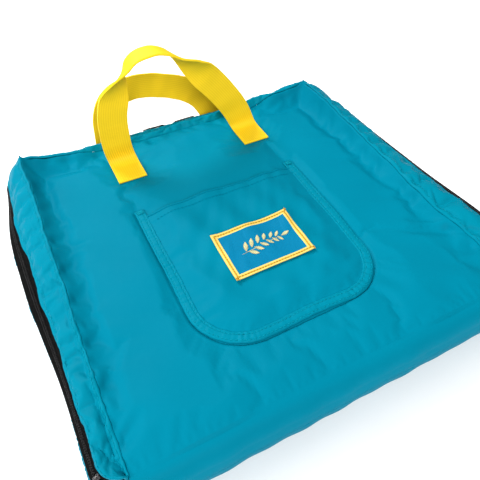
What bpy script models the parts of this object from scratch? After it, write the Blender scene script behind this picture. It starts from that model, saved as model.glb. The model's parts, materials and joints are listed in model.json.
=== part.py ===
"""Folding garden kneeler seat: a zipped fabric case in two padded halves that opens flat like a book.

The closed seat lies on its back. X runs across it, +Y runs from the folded edge to the handles,
and Z is up. The origin is on the floor under the middle of the panels.
"""
import math

import bmesh
import bpy
from mathutils import Vector

MM = 0.001

# ---- driving dimensions -------------------------------------------------------------------------
HALF_WIDTH = 142.3 * MM          # panel, centre to side seam
FAR_SEAM = 147.0 * MM            # panel, centre to far seam
FOLD_START = -131.5 * MM         # where the panels start to curve into the fold
FOLD_RADIUS = 12.0 * MM          # outside curve of each panel at the fold
CLOSED_HEIGHT = 44.8 * MM        # floor to the outer face of the front panel
GAP = 0.3 * MM                   # between neighbouring pieces
MID_GAP = 0.6 * MM               # between the two linings

SHELL = 1.5 * MM                 # coated nylon with its interlining
LINING = 1.0 * MM
GUSSET = 1.2 * MM
WEBBING = 1.6 * MM
WEBBING_WIDTH = 25.0 * MM
FOAM = 17.6 * MM
FOAM_HALF_WIDTH = 138.0 * MM
FOAM_FAR = 142.0 * MM
FOAM_NEAR = FOLD_START + 4.0 * MM

RIM_RISE_CORNER = 14.0 * MM      # seam ridge above the front panel, at the far corners
RIM_RISE_FAR = 5.0 * MM          # at the middle of the far side
RIM_RISE_NEAR = 5.0 * MM         # and near the fold
RIM_LIP = 4.5 * MM               # width of the panel edge that rises to the ridge
WALL_NEAR = FOLD_START + 6.0 * MM  # side walls and zip end here
FAR_BULGE = 0.70                 # the far wall stands out less than the side walls

HANDLE_X = 61.0 * MM             # centre to each end of a handle
FOOT_END = 97.0 * MM
HANDLE_AXIS_Y = 125.0 * MM       # where a strap leaves the case
HANDLE_CLEAR = 1.3 * MM          # from that line to the strap and to its foot
FRONT_AXIS_RISE = 0.9 * MM       # axis of the front strap over its feet, so that it can lie flat
FOOT_RECESS = 2.4 * MM           # the back panel bends in over the back handle's feet

# Route of each handle seen square on: across the seat, and up the strap from the line where it
# leaves the case. The right leg leans in, so the arch stands over to the left.
FRONT_ARCH = [(-61, 0), (-61.5, 30), (-60, 58), (-48, 82), (-20, 95), (6, 80), (25, 53), (43, 27), (61, 0)]
BACK_ARCH = [(-61, 0), (-61, 46), (-61.5, 78), (-60, 100), (-45, 119), (-10, 124), (22, 116), (36, 98),
             (52, 72), (60, 46), (61, 0)]
FLOOR_RUN = 40.0 * MM            # the back strap lies on the floor this far before it turns up
TURN_RADIUS = 9.0 * MM
BACK_LEAN = math.radians(10)
LEG_TURN = 22.0 * MM             # a leaning leg is square to its foot again over this climb
TOP_TWIST = math.radians(80)
TWIST_FROM = 0.62                # share of the climb at which the twist starts
TWIST_OVER = 0.30

POCKET_HALF_WIDTH = 74.0 * MM
POCKET_MOUTH = 49.0 * MM
POCKET_BOTTOM = -91.0 * MM
POCKET_CORNER = 40.0 * MM
BINDING_WIDTH = 8.0 * MM
BINDING_PAST_MOUTH = 8.0 * MM
POCKET_BULGE = 4.6 * MM
POCKET_SHEET = 0.9 * MM

LABEL_SIZE = (65.5 * MM, 45.0 * MM)
LABEL_Y = -23.0 * MM
LABEL_SHEET = 0.8 * MM

TAPE = 0.8 * MM
TAPE_WIDTH = 4.2 * MM            # what shows of each zip tape
COIL = 2.4 * MM
COIL_WIDTH = 1.5 * MM
ZIP_START = (23.5 * MM, 44.0 * MM)    # outward from the seam and up, upper edge of the zip
ZIP_SLOPE = math.radians(47.0)
ZIP_NEAR = WALL_NEAR + 6.0 * MM

SLIDER_X = 6.5 * MM              # centre to each slider, zip closed
SLIDER_LENGTH = 9.0 * MM
SLIDER_WIDTH = 8.4 * MM
SLIDER_PLATE = 1.4 * MM
SLIDER_CLEAR = 0.8 * MM          # from the coil to the slider
BRIDGE_SPAN = 4.8 * MM           # between the middles of its posts
BRIDGE_HEIGHT = 2.2 * MM         # clear height under its bar
BRIDGE_BAR = 1.0 * MM
BRIDGE_WIDTH = 2.0 * MM
PULL_LENGTH = 24.0 * MM
PULL_WIDTH = 6.5 * MM
PULL_THICKNESS = 1.3 * MM
PULL_END_BAR = 1.4 * MM
PULL_WINDOW = 3.3 * MM

HINGE_LOW = 11.4 * MM            # back half to fold strip
HINGE_HIGH = CLOSED_HEIGHT - HINGE_LOW
HINGE_Y = FOLD_START - FOLD_RADIUS + SHELL / 2

# Heights of the layers, worked out from the sizes above.
BACK_FOAM_Z = FOOT_RECESS + SHELL + GAP
BACK_LINING_Z = BACK_FOAM_Z + FOAM + GAP
FRONT_LINING_Z = BACK_LINING_Z + LINING + MID_GAP
FRONT_FOAM_Z = FRONT_LINING_Z + LINING + GAP
FRONT_PANEL_Z = CLOSED_HEIGHT - SHELL / 2
FOOT_Z = CLOSED_HEIGHT + GAP
FRONT_AXIS_Z = FOOT_Z + WEBBING + FRONT_AXIS_RISE


# ---- scene and materials ------------------------------------------------------------------------
for old in list(bpy.data.objects):
    bpy.data.objects.remove(old, do_unlink=True)

SEAT = bpy.data.collections.new("garden_kneeler_seat")
bpy.context.scene.collection.children.link(SEAT)
GUIDES = bpy.data.collections.new("cutters")
bpy.context.scene.collection.children.link(GUIDES)


def material(name, colour, roughness, metallic=0.0):
    """A Principled material; colour is linear RGB."""
    mat = bpy.data.materials.new(name)
    mat.use_nodes = True
    shader = mat.node_tree.nodes["Principled BSDF"]
    shader.inputs["Base Color"].default_value = (*colour, 1.0)
    shader.inputs["Roughness"].default_value = roughness
    shader.inputs["Metallic"].default_value = metallic
    mat.diffuse_color = (*colour, 1.0)
    return mat


TEAL = material("teal_nylon", (0.0, 0.34, 0.52), 0.55)
TEAL_LIGHT = material("teal_gusset", (0.0, 0.41, 0.60), 0.50)
YELLOW = material("yellow_webbing", (0.95, 0.66, 0.02), 0.75)
LINING_GREY = material("lining_grey", (0.045, 0.05, 0.055), 0.85)
FOAM_WHITE = material("foam_white", (0.70, 0.70, 0.66), 0.95)
ZIP_BLACK = material("zip_black", (0.012, 0.011, 0.012), 0.60)
ZIP_METAL = material("zip_metal", (0.03, 0.03, 0.03), 0.35, 0.9)
LABEL_BLUE = material("label_blue", (0.0, 0.20, 0.40), 0.70)


def empty(name, location):
    """A parent empty, placed on the axis of the pieces that move with it."""
    handle = bpy.data.objects.new(name, None)
    handle.location = location
    SEAT.objects.link(handle)
    return handle


FRONT_HALF = empty("front_half", (0.0, HINGE_Y, HINGE_HIGH))
SPINE = empty("spine", (0.0, HINGE_Y, HINGE_LOW))
FRONT_HANDLE = empty("front_handle", (0.0, HANDLE_AXIS_Y, FRONT_AXIS_Z))
BACK_HANDLE = empty("back_handle", (0.0, HANDLE_AXIS_Y, WEBBING / 2))
bpy.context.view_layer.update()


# ---- shaping tools ------------------------------------------------------------------------------
def add(name, mesh, mat, parent=None, smooth=True):
    """Link a mesh, given in world coordinates, as a named piece and hang it on its parent."""
    obj = bpy.data.objects.new(name, mesh)
    SEAT.objects.link(obj)
    obj.data.materials.append(mat)
    if smooth:
        mesh.shade_smooth()
        mesh.set_sharp_from_angle(angle=math.radians(40))
    if parent is not None:
        obj.parent = parent
        obj.matrix_parent_inverse = parent.matrix_world.inverted()
    return obj


def solidify(obj, thickness):
    """Give an open surface its thickness, half to each side."""
    shell = obj.modifiers.new("thickness", "SOLIDIFY")
    shell.thickness = thickness
    shell.offset = 0.0
    shell.use_even_offset = True
    return obj


def sheet(name, rows, thickness, mat, parent=None):
    """A fabric sheet: a surface through rows of points, then Solidify."""
    bm = bmesh.new()
    grid = [[bm.verts.new(point) for point in row] for row in rows]
    for row, below in zip(grid, grid[1:]):
        for left in range(len(row) - 1):
            bm.faces.new((row[left], row[left + 1], below[left + 1], below[left]))
    bmesh.ops.recalc_face_normals(bm, faces=bm.faces)
    mesh = bpy.data.meshes.new(name)
    bm.to_mesh(mesh)
    bm.free()
    return solidify(add(name, mesh, mat, parent), thickness)


def block(name, low, high, mat, parent=None, round_by=0.0, segments=2):
    """A box between two corners, with rounded edges."""
    bm = bmesh.new()
    bmesh.ops.create_cube(bm, size=1.0)
    low = Vector(low)
    high = Vector(high)
    bmesh.ops.scale(bm, vec=high - low, verts=bm.verts)
    bmesh.ops.translate(bm, vec=(low + high) / 2, verts=bm.verts)
    mesh = bpy.data.meshes.new(name)
    bm.to_mesh(mesh)
    bm.free()
    obj = add(name, mesh, mat, parent)
    if round_by > 0.0:
        bevel = obj.modifiers.new("rounding", "BEVEL")
        bevel.width = round_by
        bevel.segments = segments
    return obj


def mix(start, end, share):
    return start + (end - start) * share


def smooth_line(points, steps):
    """Catmull-Rom curve through the given tuples, with `steps` spans between neighbours."""
    knots = [Vector(point) for point in points]
    first = 2 * knots[0] - knots[1]
    last = 2 * knots[-1] - knots[-2]
    knots = [first] + knots + [last]
    line = []
    for k in range(1, len(knots) - 2):
        a, b, c, d = knots[k - 1:k + 3]
        for step in range(steps):
            t = step / steps
            line.append(0.5 * ((2 * b) + (c - a) * t + (2 * a - 5 * b + 4 * c - d) * t ** 2
                               + (3 * b - a - 3 * c + d) * t ** 3))
    line.append(knots[-2])
    return line


# ---- front and back panels ----------------------------------------------------------------------
def fold_curve(z_flat, towards):
    """The quarter round from a flat panel into the fold; towards is -1 down or +1 up."""
    radius = FOLD_RADIUS - SHELL / 2
    last = abs(z_flat - (HINGE_HIGH if towards < 0 else HINGE_LOW)) - 1.0 * MM
    points = []
    for step in range(1, 6):
        angle = math.radians(90) * step / 5
        rise = min(radius * (1 - math.cos(angle)), last)
        points.append((FOLD_START - radius * math.sin(angle), z_flat + towards * rise))
    return points


def rim_rise(x, y):
    """Height of the seam ridge over the front panel: high at the far corners, low elsewhere."""
    towards_corner = min(abs(x) / HALF_WIDTH, 1.0) ** 4
    far = mix(RIM_RISE_FAR, RIM_RISE_CORNER, towards_corner)
    share = (y - WALL_NEAR) / (FAR_SEAM - WALL_NEAR)
    return mix(RIM_RISE_NEAR, far, min(max(share, 0.0), 1.0))


def front_panel():
    """Outer sheet of the upper half: flat, with a raised lip at its seams, curved at the fold."""
    inner = HALF_WIDTH - RIM_LIP
    columns = [-HALF_WIDTH, -inner, -HANDLE_X, 0.0, HANDLE_X, inner, HALF_WIDTH]
    rows = []
    for y in (FAR_SEAM, FAR_SEAM - RIM_LIP, 90 * MM, 0.0, -70 * MM, WALL_NEAR, FOLD_START):
        row = []
        for x in columns:
            at_seam = abs(x) > inner or y > FAR_SEAM - RIM_LIP / 2
            at_seam = at_seam and y > WALL_NEAR - 1 * MM
            row.append((x, y, FRONT_PANEL_Z + (rim_rise(x, y) if at_seam else 0.0)))
        rows.append(row)
    for y, z in fold_curve(FRONT_PANEL_Z, -1):
        rows.append([(x, y, z) for x in columns])
    return sheet("front_panel", rows, SHELL, TEAL, FRONT_HALF)


def back_panel():
    """Outer sheet of the lower half: flat on the floor, bent in over the back handle's feet."""
    half_foot = WEBBING_WIDTH / 2 + 0.8 * MM
    slope = 2.2 * MM
    columns = [-HALF_WIDTH]
    for centre in (-HANDLE_X, HANDLE_X):
        columns += [centre - half_foot - slope, centre - half_foot]
        columns += [centre + half_foot, centre + half_foot + slope]
    columns.append(HALF_WIDTH)
    recess_near = FOOT_END - 1.0 * MM
    rows = []
    for y in (FAR_SEAM, recess_near, recess_near - slope, 0.0, FOLD_START):
        row = []
        for x in columns:
            over_foot = abs(abs(x) - HANDLE_X) < half_foot + 0.1 * MM and y > recess_near - 0.1 * MM
            row.append((x, y, SHELL / 2 + (FOOT_RECESS if over_foot else 0.0)))
        rows.append(row)
    for y, z in fold_curve(SHELL / 2, 1):
        rows.append([(x, y, z) for x in columns])
    return sheet("back_panel", rows, SHELL, TEAL)


def spine_panel():
    """The strip of shell at the fold, between the two fold lines."""
    low = HINGE_LOW + 1.0 * MM
    high = HINGE_HIGH - 1.0 * MM
    rows = []
    for step in range(7):
        share = step / 6
        bow = 1.6 * MM * math.sin(math.pi * share)
        rows.append([(x, HINGE_Y - bow, mix(low, high, share)) for x in (-HALF_WIDTH, 0.0, HALF_WIDTH)])
    return sheet("spine_panel", rows, SHELL, TEAL, SPINE)


def spine_lining():
    """The lining behind the fold strip."""
    y = HINGE_Y + SHELL / 2 + 1.2 * MM
    low = HINGE_LOW + 3.0 * MM
    high = HINGE_HIGH - 3.0 * MM
    rows = [[(x, y, z) for x in (-FOAM_HALF_WIDTH, FOAM_HALF_WIDTH)] for z in (low, high)]
    return sheet("spine_lining", rows, LINING, LINING_GREY, SPINE)


# ---- side walls and zip -------------------------------------------------------------------------
def wall_point(side, out, along, z):
    """A point on a wall: `out` from the seam, `along` the wall from its middle."""
    if side == "far":
        return Vector((along, FAR_SEAM + out * FAR_BULGE, z))
    sign = -1 if side == "left" else 1
    return Vector((sign * (HALF_WIDTH + out), along, z))


def corner_point(out, degrees):
    """A point on the rounded right-hand corner, `out` from the seam: 0 on the right, 90 far."""
    angle = math.radians(degrees)
    centre_y = FAR_SEAM + out * (FAR_BULGE - 1)
    return (HALF_WIDTH + out * math.cos(angle), centre_y + out * math.sin(angle))


def wall_plan(side, out):
    """The (x, y) line of a wall, `out` from the seam; two walls meet halfway round each corner."""
    if side == "far":
        right = [(mix(0.0, HALF_WIDTH, step / 5), FAR_SEAM + out * FAR_BULGE) for step in range(6)]
        right += [corner_point(out, degrees) for degrees in (75, 60, 47)]
        return [(-x, y) for x, y in reversed(right[1:])] + right
    sign = -1 if side == "left" else 1
    end = FAR_SEAM + out * (FAR_BULGE - 1)
    line = [(HALF_WIDTH + out, mix(WALL_NEAR, end, step / 7)) for step in range(8)]
    line += [corner_point(out, degrees) for degrees in (15, 30, 43)]
    return [(sign * x, y) for x, y in line]


def wall(name, side, profile, mat, parent=None):
    """A gusset strip: its section swept along one side, with rounded far corners.

    Each point of the section is its distance out from the seam and its height; a height of None
    is the seam's ridge.
    """
    rows = []
    for out, height in profile:
        row = []
        for x, y in wall_plan(side, out):
            place = (x, FAR_SEAM) if side == "far" else (HALF_WIDTH, y)
            ridge = CLOSED_HEIGHT + rim_rise(*place)
            row.append((x, y, ridge if height is None else height))
        rows.append(row)
    return sheet(name, rows, GUSSET, mat, parent)


def gussets():
    """Three strips round each half: left, far and right, splayed out to the zip."""
    upper = [(1.4 * MM, None), (12.0 * MM, 49.8 * MM), (22.3 * MM, 45.9 * MM)]
    lower = [
        (32.3 * MM, 34.0 * MM),
        (33.0 * MM, 23.0 * MM),
        (26.0 * MM, 9.5 * MM),
        (11.0 * MM, 3.4 * MM),
        (0.8 * MM, 3.2 * MM),
    ]
    for side in ("left", "far", "right"):
        wall("front_gusset_" + side, side, upper, TEAL_LIGHT, FRONT_HALF)
        wall("back_gusset_" + side, side, lower, TEAL_LIGHT)


def zip_point(slant):
    """Outward distance and height of the point `slant` below the zip's upper edge."""
    return (ZIP_START[0] + slant * math.cos(ZIP_SLOPE), ZIP_START[1] - slant * math.sin(ZIP_SLOPE))


def zip_route(out):
    """The zip's line round three sides, `out` from the seam, as (x, y) points."""
    right = [corner_point(out, degrees) for degrees in range(90, -1, -15)]
    right.append((HALF_WIDTH + out, ZIP_NEAR))
    return [(-x, y) for x, y in reversed(right)] + right


def zip_strip(name, slant, width, thickness, mat, parent=None):
    """One band of the zip: tape or coil."""
    rows = []
    for edge in (slant, slant + width):
        out, z = zip_point(edge)
        rows.append([(x, y, z) for x, y in zip_route(out)])
    return sheet(name, rows, thickness, mat, parent)


def zip_parts():
    """Two tapes with their coils, and a stop clip at each end."""
    coil_start = TAPE_WIDTH + GAP
    second_coil = coil_start + COIL_WIDTH + GAP
    second_tape = second_coil + COIL_WIDTH + GAP
    zip_strip("front_zip_tape", 0.0, TAPE_WIDTH, TAPE, ZIP_BLACK, FRONT_HALF)
    zip_strip("front_zip_coil", coil_start, COIL_WIDTH, COIL, ZIP_BLACK, FRONT_HALF)
    zip_strip("back_zip_coil", second_coil, COIL_WIDTH, COIL, ZIP_BLACK)
    zip_strip("back_zip_tape", second_tape, TAPE_WIDTH, TAPE, ZIP_BLACK)
    out, z = zip_point(second_coil + COIL_WIDTH / 2)
    half = Vector((2.2 * MM, 2.0 * MM, 2.2 * MM))
    for side, sign in (("left", -1), ("right", 1)):
        centre = Vector((sign * (HALF_WIDTH + out), ZIP_NEAR - 2.6 * MM, z))
        block("zip_stop_" + side, centre - half, centre + half, ZIP_METAL, None, 0.5 * MM)


# ---- sliders and pull tabs ----------------------------------------------------------------------
def oriented_block(name, centre, axes, size, mat, parent, round_by):
    """A rounded box whose three edges follow the given directions."""
    bm = bmesh.new()
    bmesh.ops.create_cube(bm, size=1.0)
    for vert in bm.verts:
        local = vert.co.copy()
        vert.co = centre
        for axis, share, length in zip(axes, local, size):
            vert.co += axis * share * length
    bm.normal_update()
    bmesh.ops.recalc_face_normals(bm, faces=bm.faces)
    mesh = bpy.data.meshes.new(name)
    bm.to_mesh(mesh)
    bm.free()
    obj = add(name, mesh, mat, parent)
    if round_by > 0.0:
        bevel = obj.modifiers.new("rounding", "BEVEL")
        bevel.width = round_by
        bevel.segments = 2
    return obj


def combine(base, helper, operation):
    """Boolean of a piece with a helper solid, which becomes a hidden cutter."""
    SEAT.objects.unlink(helper)
    GUIDES.objects.link(helper)
    helper.hide_render = True
    helper.display_type = "WIRE"
    boolean = base.modifiers.new(operation.lower(), "BOOLEAN")
    boolean.operation = operation
    boolean.object = helper


def slider(side, sign):
    """A slider plate with a bridge over it, and the pull tab whose end bar turns in the bridge."""
    out, z = zip_point(TAPE_WIDTH + GAP + COIL_WIDTH + GAP / 2)
    outward = Vector((sign, 0.0, 0.0))
    across = Vector((0.0, -math.cos(ZIP_SLOPE), math.sin(ZIP_SLOPE)))
    face = Vector((0.0, math.sin(ZIP_SLOPE), math.cos(ZIP_SLOPE)))
    axes = (outward, across, face)
    base = wall_point("far", out, sign * SLIDER_X, z) + face * (COIL / 2 + SLIDER_CLEAR)
    pivot = base + face * (SLIDER_PLATE + BRIDGE_HEIGHT / 2)
    carriage = empty("zip_slider_" + side + "_frame", base)
    swivel = empty("zip_pull_" + side + "_frame", pivot)
    bpy.context.view_layer.update()

    plate = oriented_block("zip_slider_" + side, base + face * SLIDER_PLATE / 2, axes,
                           (SLIDER_LENGTH, SLIDER_WIDTH, SLIDER_PLATE), ZIP_METAL, carriage, 0.4 * MM)
    post = (BRIDGE_BAR * 1.2, BRIDGE_WIDTH, BRIDGE_HEIGHT + BRIDGE_BAR)
    for end in (-1, 1):
        centre = pivot + outward * end * BRIDGE_SPAN / 2
        combine(plate, oriented_block("bridge_post", centre, axes, post, ZIP_METAL, None, 0.0), "UNION")
    bar_size = (BRIDGE_SPAN + post[0], BRIDGE_WIDTH * 0.96, BRIDGE_BAR)
    bar_centre = pivot + face * (BRIDGE_HEIGHT + BRIDGE_BAR) / 2
    combine(plate, oriented_block("bridge_bar", bar_centre, axes, bar_size, ZIP_METAL, None, 0.0),
            "UNION")

    tab_centre = pivot + outward * (PULL_LENGTH / 2 - PULL_END_BAR / 2)
    tab = oriented_block("zip_pull_" + side, tab_centre, axes,
                         (PULL_LENGTH, PULL_WIDTH, PULL_THICKNESS), ZIP_METAL, swivel, 0.3 * MM)
    window_centre = pivot + outward * (PULL_END_BAR / 2 + PULL_WINDOW / 2)
    combine(tab, oriented_block("pull_window", window_centre, axes,
                                (PULL_WINDOW, PULL_WINDOW, 4 * MM), ZIP_METAL, None, 0.0), "DIFFERENCE")


def sliders():
    """Two sliders that meet at the middle of the far side."""
    slider("left", -1)
    slider("right", 1)


# ---- foam and linings ---------------------------------------------------------------------------
def pads():
    """A foam pad and a lining in each half."""
    low = (-FOAM_HALF_WIDTH, FOAM_NEAR)
    high = (FOAM_HALF_WIDTH, FOAM_FAR)
    block("back_foam", (*low, BACK_FOAM_Z), (*high, BACK_FOAM_Z + FOAM), FOAM_WHITE, None, 2.0 * MM)
    block("front_foam", (*low, FRONT_FOAM_Z), (*high, FRONT_FOAM_Z + FOAM), FOAM_WHITE, FRONT_HALF,
          2.0 * MM)
    block("back_lining", (*low, BACK_LINING_Z), (*high, BACK_LINING_Z + LINING), LINING_GREY)
    block("front_lining", (*low, FRONT_LINING_Z), (*high, FRONT_LINING_Z + LINING), LINING_GREY,
          FRONT_HALF)


# ---- pocket and label ---------------------------------------------------------------------------
def pocket_half_width(y, half, corner, bottom):
    """Half width of the U shape at y."""
    centre = bottom + corner
    if y >= centre:
        return half
    return half - corner + math.sqrt(max(corner ** 2 - (centre - y) ** 2, 0.0))


def pocket_height(x, y):
    """Underside of the pocket over the front panel: open at the mouth, closed at its seam."""
    half = pocket_half_width(y, POCKET_HALF_WIDTH - BINDING_WIDTH, POCKET_CORNER - BINDING_WIDTH,
                             POCKET_BOTTOM + BINDING_WIDTH)
    sideways = 1 - min(abs(x) / half, 1.0) ** 2.4
    deep = (POCKET_MOUTH - y) / (POCKET_MOUTH - POCKET_BOTTOM - BINDING_WIDTH)
    return CLOSED_HEIGHT + GAP + POCKET_BULGE * sideways * (1 - min(deep, 1.0) ** 2.0)


def pocket_panel():
    """The patch pocket, bulging a little towards its mouth."""
    inset = BINDING_WIDTH + GAP
    half = POCKET_HALF_WIDTH - inset
    corner = POCKET_CORNER - inset
    bottom = POCKET_BOTTOM + inset
    levels = [mix(POCKET_MOUTH, bottom + corner, step / 6) for step in range(6)]
    levels += [bottom + corner * (1 - math.sin(math.radians(90) * step / 6)) for step in range(7)]
    rows = []
    for y in levels:
        width = pocket_half_width(y, half, corner, bottom)
        shares = [step / 5 - 1 for step in range(11)]
        rows.append([(width * s, y, pocket_height(width * s, y) + POCKET_SHEET / 2) for s in shares])
    return sheet("pocket_panel", rows, POCKET_SHEET, TEAL, FRONT_HALF)


def pocket_binding():
    """The double-stitched band round the sides and the bottom of the pocket."""
    thickness = 1.4 * MM
    z = CLOSED_HEIGHT + GAP + thickness / 2
    centre = POCKET_BOTTOM + POCKET_CORNER
    rows = []
    for inset in (0.0, BINDING_WIDTH):
        half = POCKET_HALF_WIDTH - inset
        radius = POCKET_CORNER - inset
        side = [(-half, POCKET_MOUTH + BINDING_PAST_MOUTH, z)]
        for step in range(9):
            angle = math.radians(180 + 90 * step / 8)
            side.append((-(POCKET_HALF_WIDTH - POCKET_CORNER) + radius * math.cos(angle),
                         centre + radius * math.sin(angle), z))
        rows.append(side + [(-x, y, z) for x, y, z in reversed(side)])
    return sheet("pocket_binding", rows, thickness, TEAL_LIGHT, FRONT_HALF)


def pocket_label():
    """The woven label on the pocket."""
    wide, tall = LABEL_SIZE
    rows = []
    for row in range(5):
        y = LABEL_Y + tall * (0.5 - row / 4)
        line = []
        for column in range(7):
            x = wide * (column / 6 - 0.5)
            line.append((x, y, pocket_height(x, y) + POCKET_SHEET + 0.5 * MM + LABEL_SHEET / 2))
        rows.append(line)
    return sheet("pocket_label", rows, LABEL_SHEET, LABEL_BLUE, FRONT_HALF)


# ---- handles ------------------------------------------------------------------------------------
def handle_feet():
    """The sewn-down ends of the two handles."""
    half = WEBBING_WIDTH / 2
    end = HANDLE_AXIS_Y - HANDLE_CLEAR
    for side, sign in (("left", -1), ("right", 1)):
        x = sign * HANDLE_X
        block("front_handle_foot_" + side, (x - half, FOOT_END, FOOT_Z), (x + half, end, FOOT_Z + WEBBING),
              YELLOW, FRONT_HALF, 0.3 * MM)
        block("back_handle_foot_" + side, (x - half, FOOT_END, 0.0), (x + half, end, WEBBING),
              YELLOW, None, 0.3 * MM)


def front_strap_place(climb):
    """Where the front strap is after `climb`: straight up from its feet."""
    return Vector((0.0, HANDLE_AXIS_Y, FOOT_Z + WEBBING / 2 + climb))


def back_strap_place(climb):
    """Where the back strap is after `climb`: along the floor, round the far edge and up."""
    turn = math.radians(90) - BACK_LEAN
    z = WEBBING / 2
    if climb <= FLOOR_RUN:
        return Vector((0.0, HANDLE_AXIS_Y + climb, z))
    angle = min((climb - FLOOR_RUN) / TURN_RADIUS, turn)
    y = HANDLE_AXIS_Y + FLOOR_RUN + TURN_RADIUS * math.sin(angle)
    z += TURN_RADIUS * (1 - math.cos(angle))
    rest = max(climb - FLOOR_RUN - TURN_RADIUS * turn, 0.0)
    return Vector((0.0, y + rest * math.cos(turn), z + rest * math.sin(turn)))


def handle_loop(name, arch, place, parent):
    """A strap along its arch; it twists so that the hand meets its flat side at the top."""
    line = smooth_line([(x * MM, climb * MM) for x, climb in arch], 4)
    top = max(point[1] for point in line)
    sideways = Vector((1.0, 0.0, 0.0))
    rows = [[], []]
    for index, point in enumerate(line):
        before = line[max(index - 1, 0)]
        after = line[min(index + 1, len(line) - 1)]
        tangent = (after - before).normalized()
        climb = max(point[1], HANDLE_CLEAR)
        up = (place(climb + 0.5 * MM) - place(climb)).normalized()
        outward = Vector((0.0, up.z, -up.y))
        turn = 1 if index < len(line) / 2 else -1
        square = (sideways * tangent[1] - up * tangent[0]) * turn
        free = min(climb / LEG_TURN, 1.0)
        across = (sideways * (1 - free) + square * free).normalized()
        twist = TOP_TWIST * min(max((point[1] / top - TWIST_FROM) / TWIST_OVER, 0.0), 1.0)
        width = across * math.cos(twist) + outward * math.sin(twist) * turn
        centre = place(climb) + sideways * point[0]
        rows[0].append(centre - width * turn * WEBBING_WIDTH / 2)
        rows[1].append(centre + width * turn * WEBBING_WIDTH / 2)
    return sheet(name, rows, WEBBING, YELLOW, parent)


front_panel()
back_panel()
spine_panel()
spine_lining()
gussets()
zip_parts()
sliders()
pads()
pocket_panel()
pocket_binding()
pocket_label()
handle_feet()
handle_loop("front_handle_loop", FRONT_ARCH, front_strap_place, FRONT_HANDLE)
handle_loop("back_handle_loop", BACK_ARCH, back_strap_place, BACK_HANDLE)
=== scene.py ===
"""Looks of the folding garden kneeler seat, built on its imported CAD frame."""

import json
import math

import bpy
import numpy as np
from mathutils import Matrix, Vector


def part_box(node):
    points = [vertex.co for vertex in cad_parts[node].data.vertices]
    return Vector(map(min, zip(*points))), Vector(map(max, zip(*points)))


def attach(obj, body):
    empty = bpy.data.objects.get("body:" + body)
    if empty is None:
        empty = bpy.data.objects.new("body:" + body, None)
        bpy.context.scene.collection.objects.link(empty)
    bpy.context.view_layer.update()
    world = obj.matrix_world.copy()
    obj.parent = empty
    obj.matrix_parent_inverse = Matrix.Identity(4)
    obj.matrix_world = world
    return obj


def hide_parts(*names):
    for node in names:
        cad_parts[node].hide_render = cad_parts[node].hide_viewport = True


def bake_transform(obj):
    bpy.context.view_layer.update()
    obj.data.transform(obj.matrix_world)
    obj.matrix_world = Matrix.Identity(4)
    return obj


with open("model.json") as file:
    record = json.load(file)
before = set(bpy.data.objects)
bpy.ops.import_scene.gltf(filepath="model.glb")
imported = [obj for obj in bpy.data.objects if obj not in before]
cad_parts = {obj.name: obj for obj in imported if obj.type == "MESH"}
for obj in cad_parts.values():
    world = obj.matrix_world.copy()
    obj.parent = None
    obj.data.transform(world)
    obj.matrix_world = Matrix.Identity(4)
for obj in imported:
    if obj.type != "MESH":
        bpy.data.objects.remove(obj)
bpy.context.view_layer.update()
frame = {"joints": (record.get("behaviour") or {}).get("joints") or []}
MM = 0.001

# ---- measures: from the frame where it gives them -------------------------------------------------
JOINTS = {joint["name"]: joint["pos_m"] for joint in frame["joints"] if "pos_m" in joint}


def low(node):
    """Lowest corner of a CAD node's box."""
    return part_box(node)[0]


def high(node):
    """Highest corner of a CAD node's box."""
    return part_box(node)[1]


HALF = high("back_panel").x
FAR = high("back_panel").y
TOP = low("front_handle_foot_left").z - 0.3 * MM
FOLD_START = JOINTS["fold_low"][1] + 11.25 * MM
MIDDLE_Z = (JOINTS["fold_low"][2] + JOINTS["fold_high"][2]) / 2
# (out, height) of the zip's upper edge, and how steeply the zip faces down from level.
ZIP_EDGE = (23.5 * MM, 44.0 * MM)
ZIP_SLOPE = math.radians(47)
# The far wall stands out by this share of what the sides do, and its zip runs this much lower.
FAR_BULGE = 0.70
FAR_DROP = 3.0 * MM
# Share of a side's run, and of each half of the far run, that goes round to a corner's middle.
SIDE_CORNER = 0.12
SIDE_TURN = 1 - SIDE_CORNER
FAR_CORNER = 0.2
FAR_TURN = 1 - FAR_CORNER
# Where the walls and the zip end, next to the fold.
WALL_END = FOLD_START + 0.5 * MM
ZIP_NEAR = FOLD_START + 12 * MM
FOOT_X = (low("front_handle_foot_right").x + high("front_handle_foot_right").x) / 2
FOOT_NEAR = low("front_handle_foot_left").y
LEAVE_Y = JOINTS["front_handle_swing"][1]
SHELL = 1.2 * MM
FOLD_RADIUS = 12.0 * MM
ZIP_MIDDLE = 6.15 * MM
TAPE_WIDTH = 4.2 * MM
STITCH = 3.2 * MM
QUILT_DEPTH = 2.2 * MM
FRONT_STRAP_Z = TOP + 1.1 * MM
BACK_STRAP_Z = 0.95 * MM
UP = np.array([0.0, 0.0, 1.0])
BIND_LOW, BIND_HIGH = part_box("pocket_binding")
POCKET_HALF = BIND_HIGH.x
POCKET_BOTTOM = BIND_LOW.y
BAND = 8.0 * MM
POCKET_MOUTH = BIND_HIGH.y - BAND
CORNER = 40.0 * MM
POCKET_INSET = BAND - 0.8 * MM
MOUTH_BOW = 4.2 * MM
BAND_SHARES = np.linspace(0, 1, 25)
BORDER = 2.2 * MM


# ---- camera, light and floor ----------------------------------------------------------------------
CAMERA_PLACE = (-0.12567, -0.22539, 0.32499)
CAMERA_TURNS = (27.83, 48.56, 0.755)
CAMERA_LENS = 36.06
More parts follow.
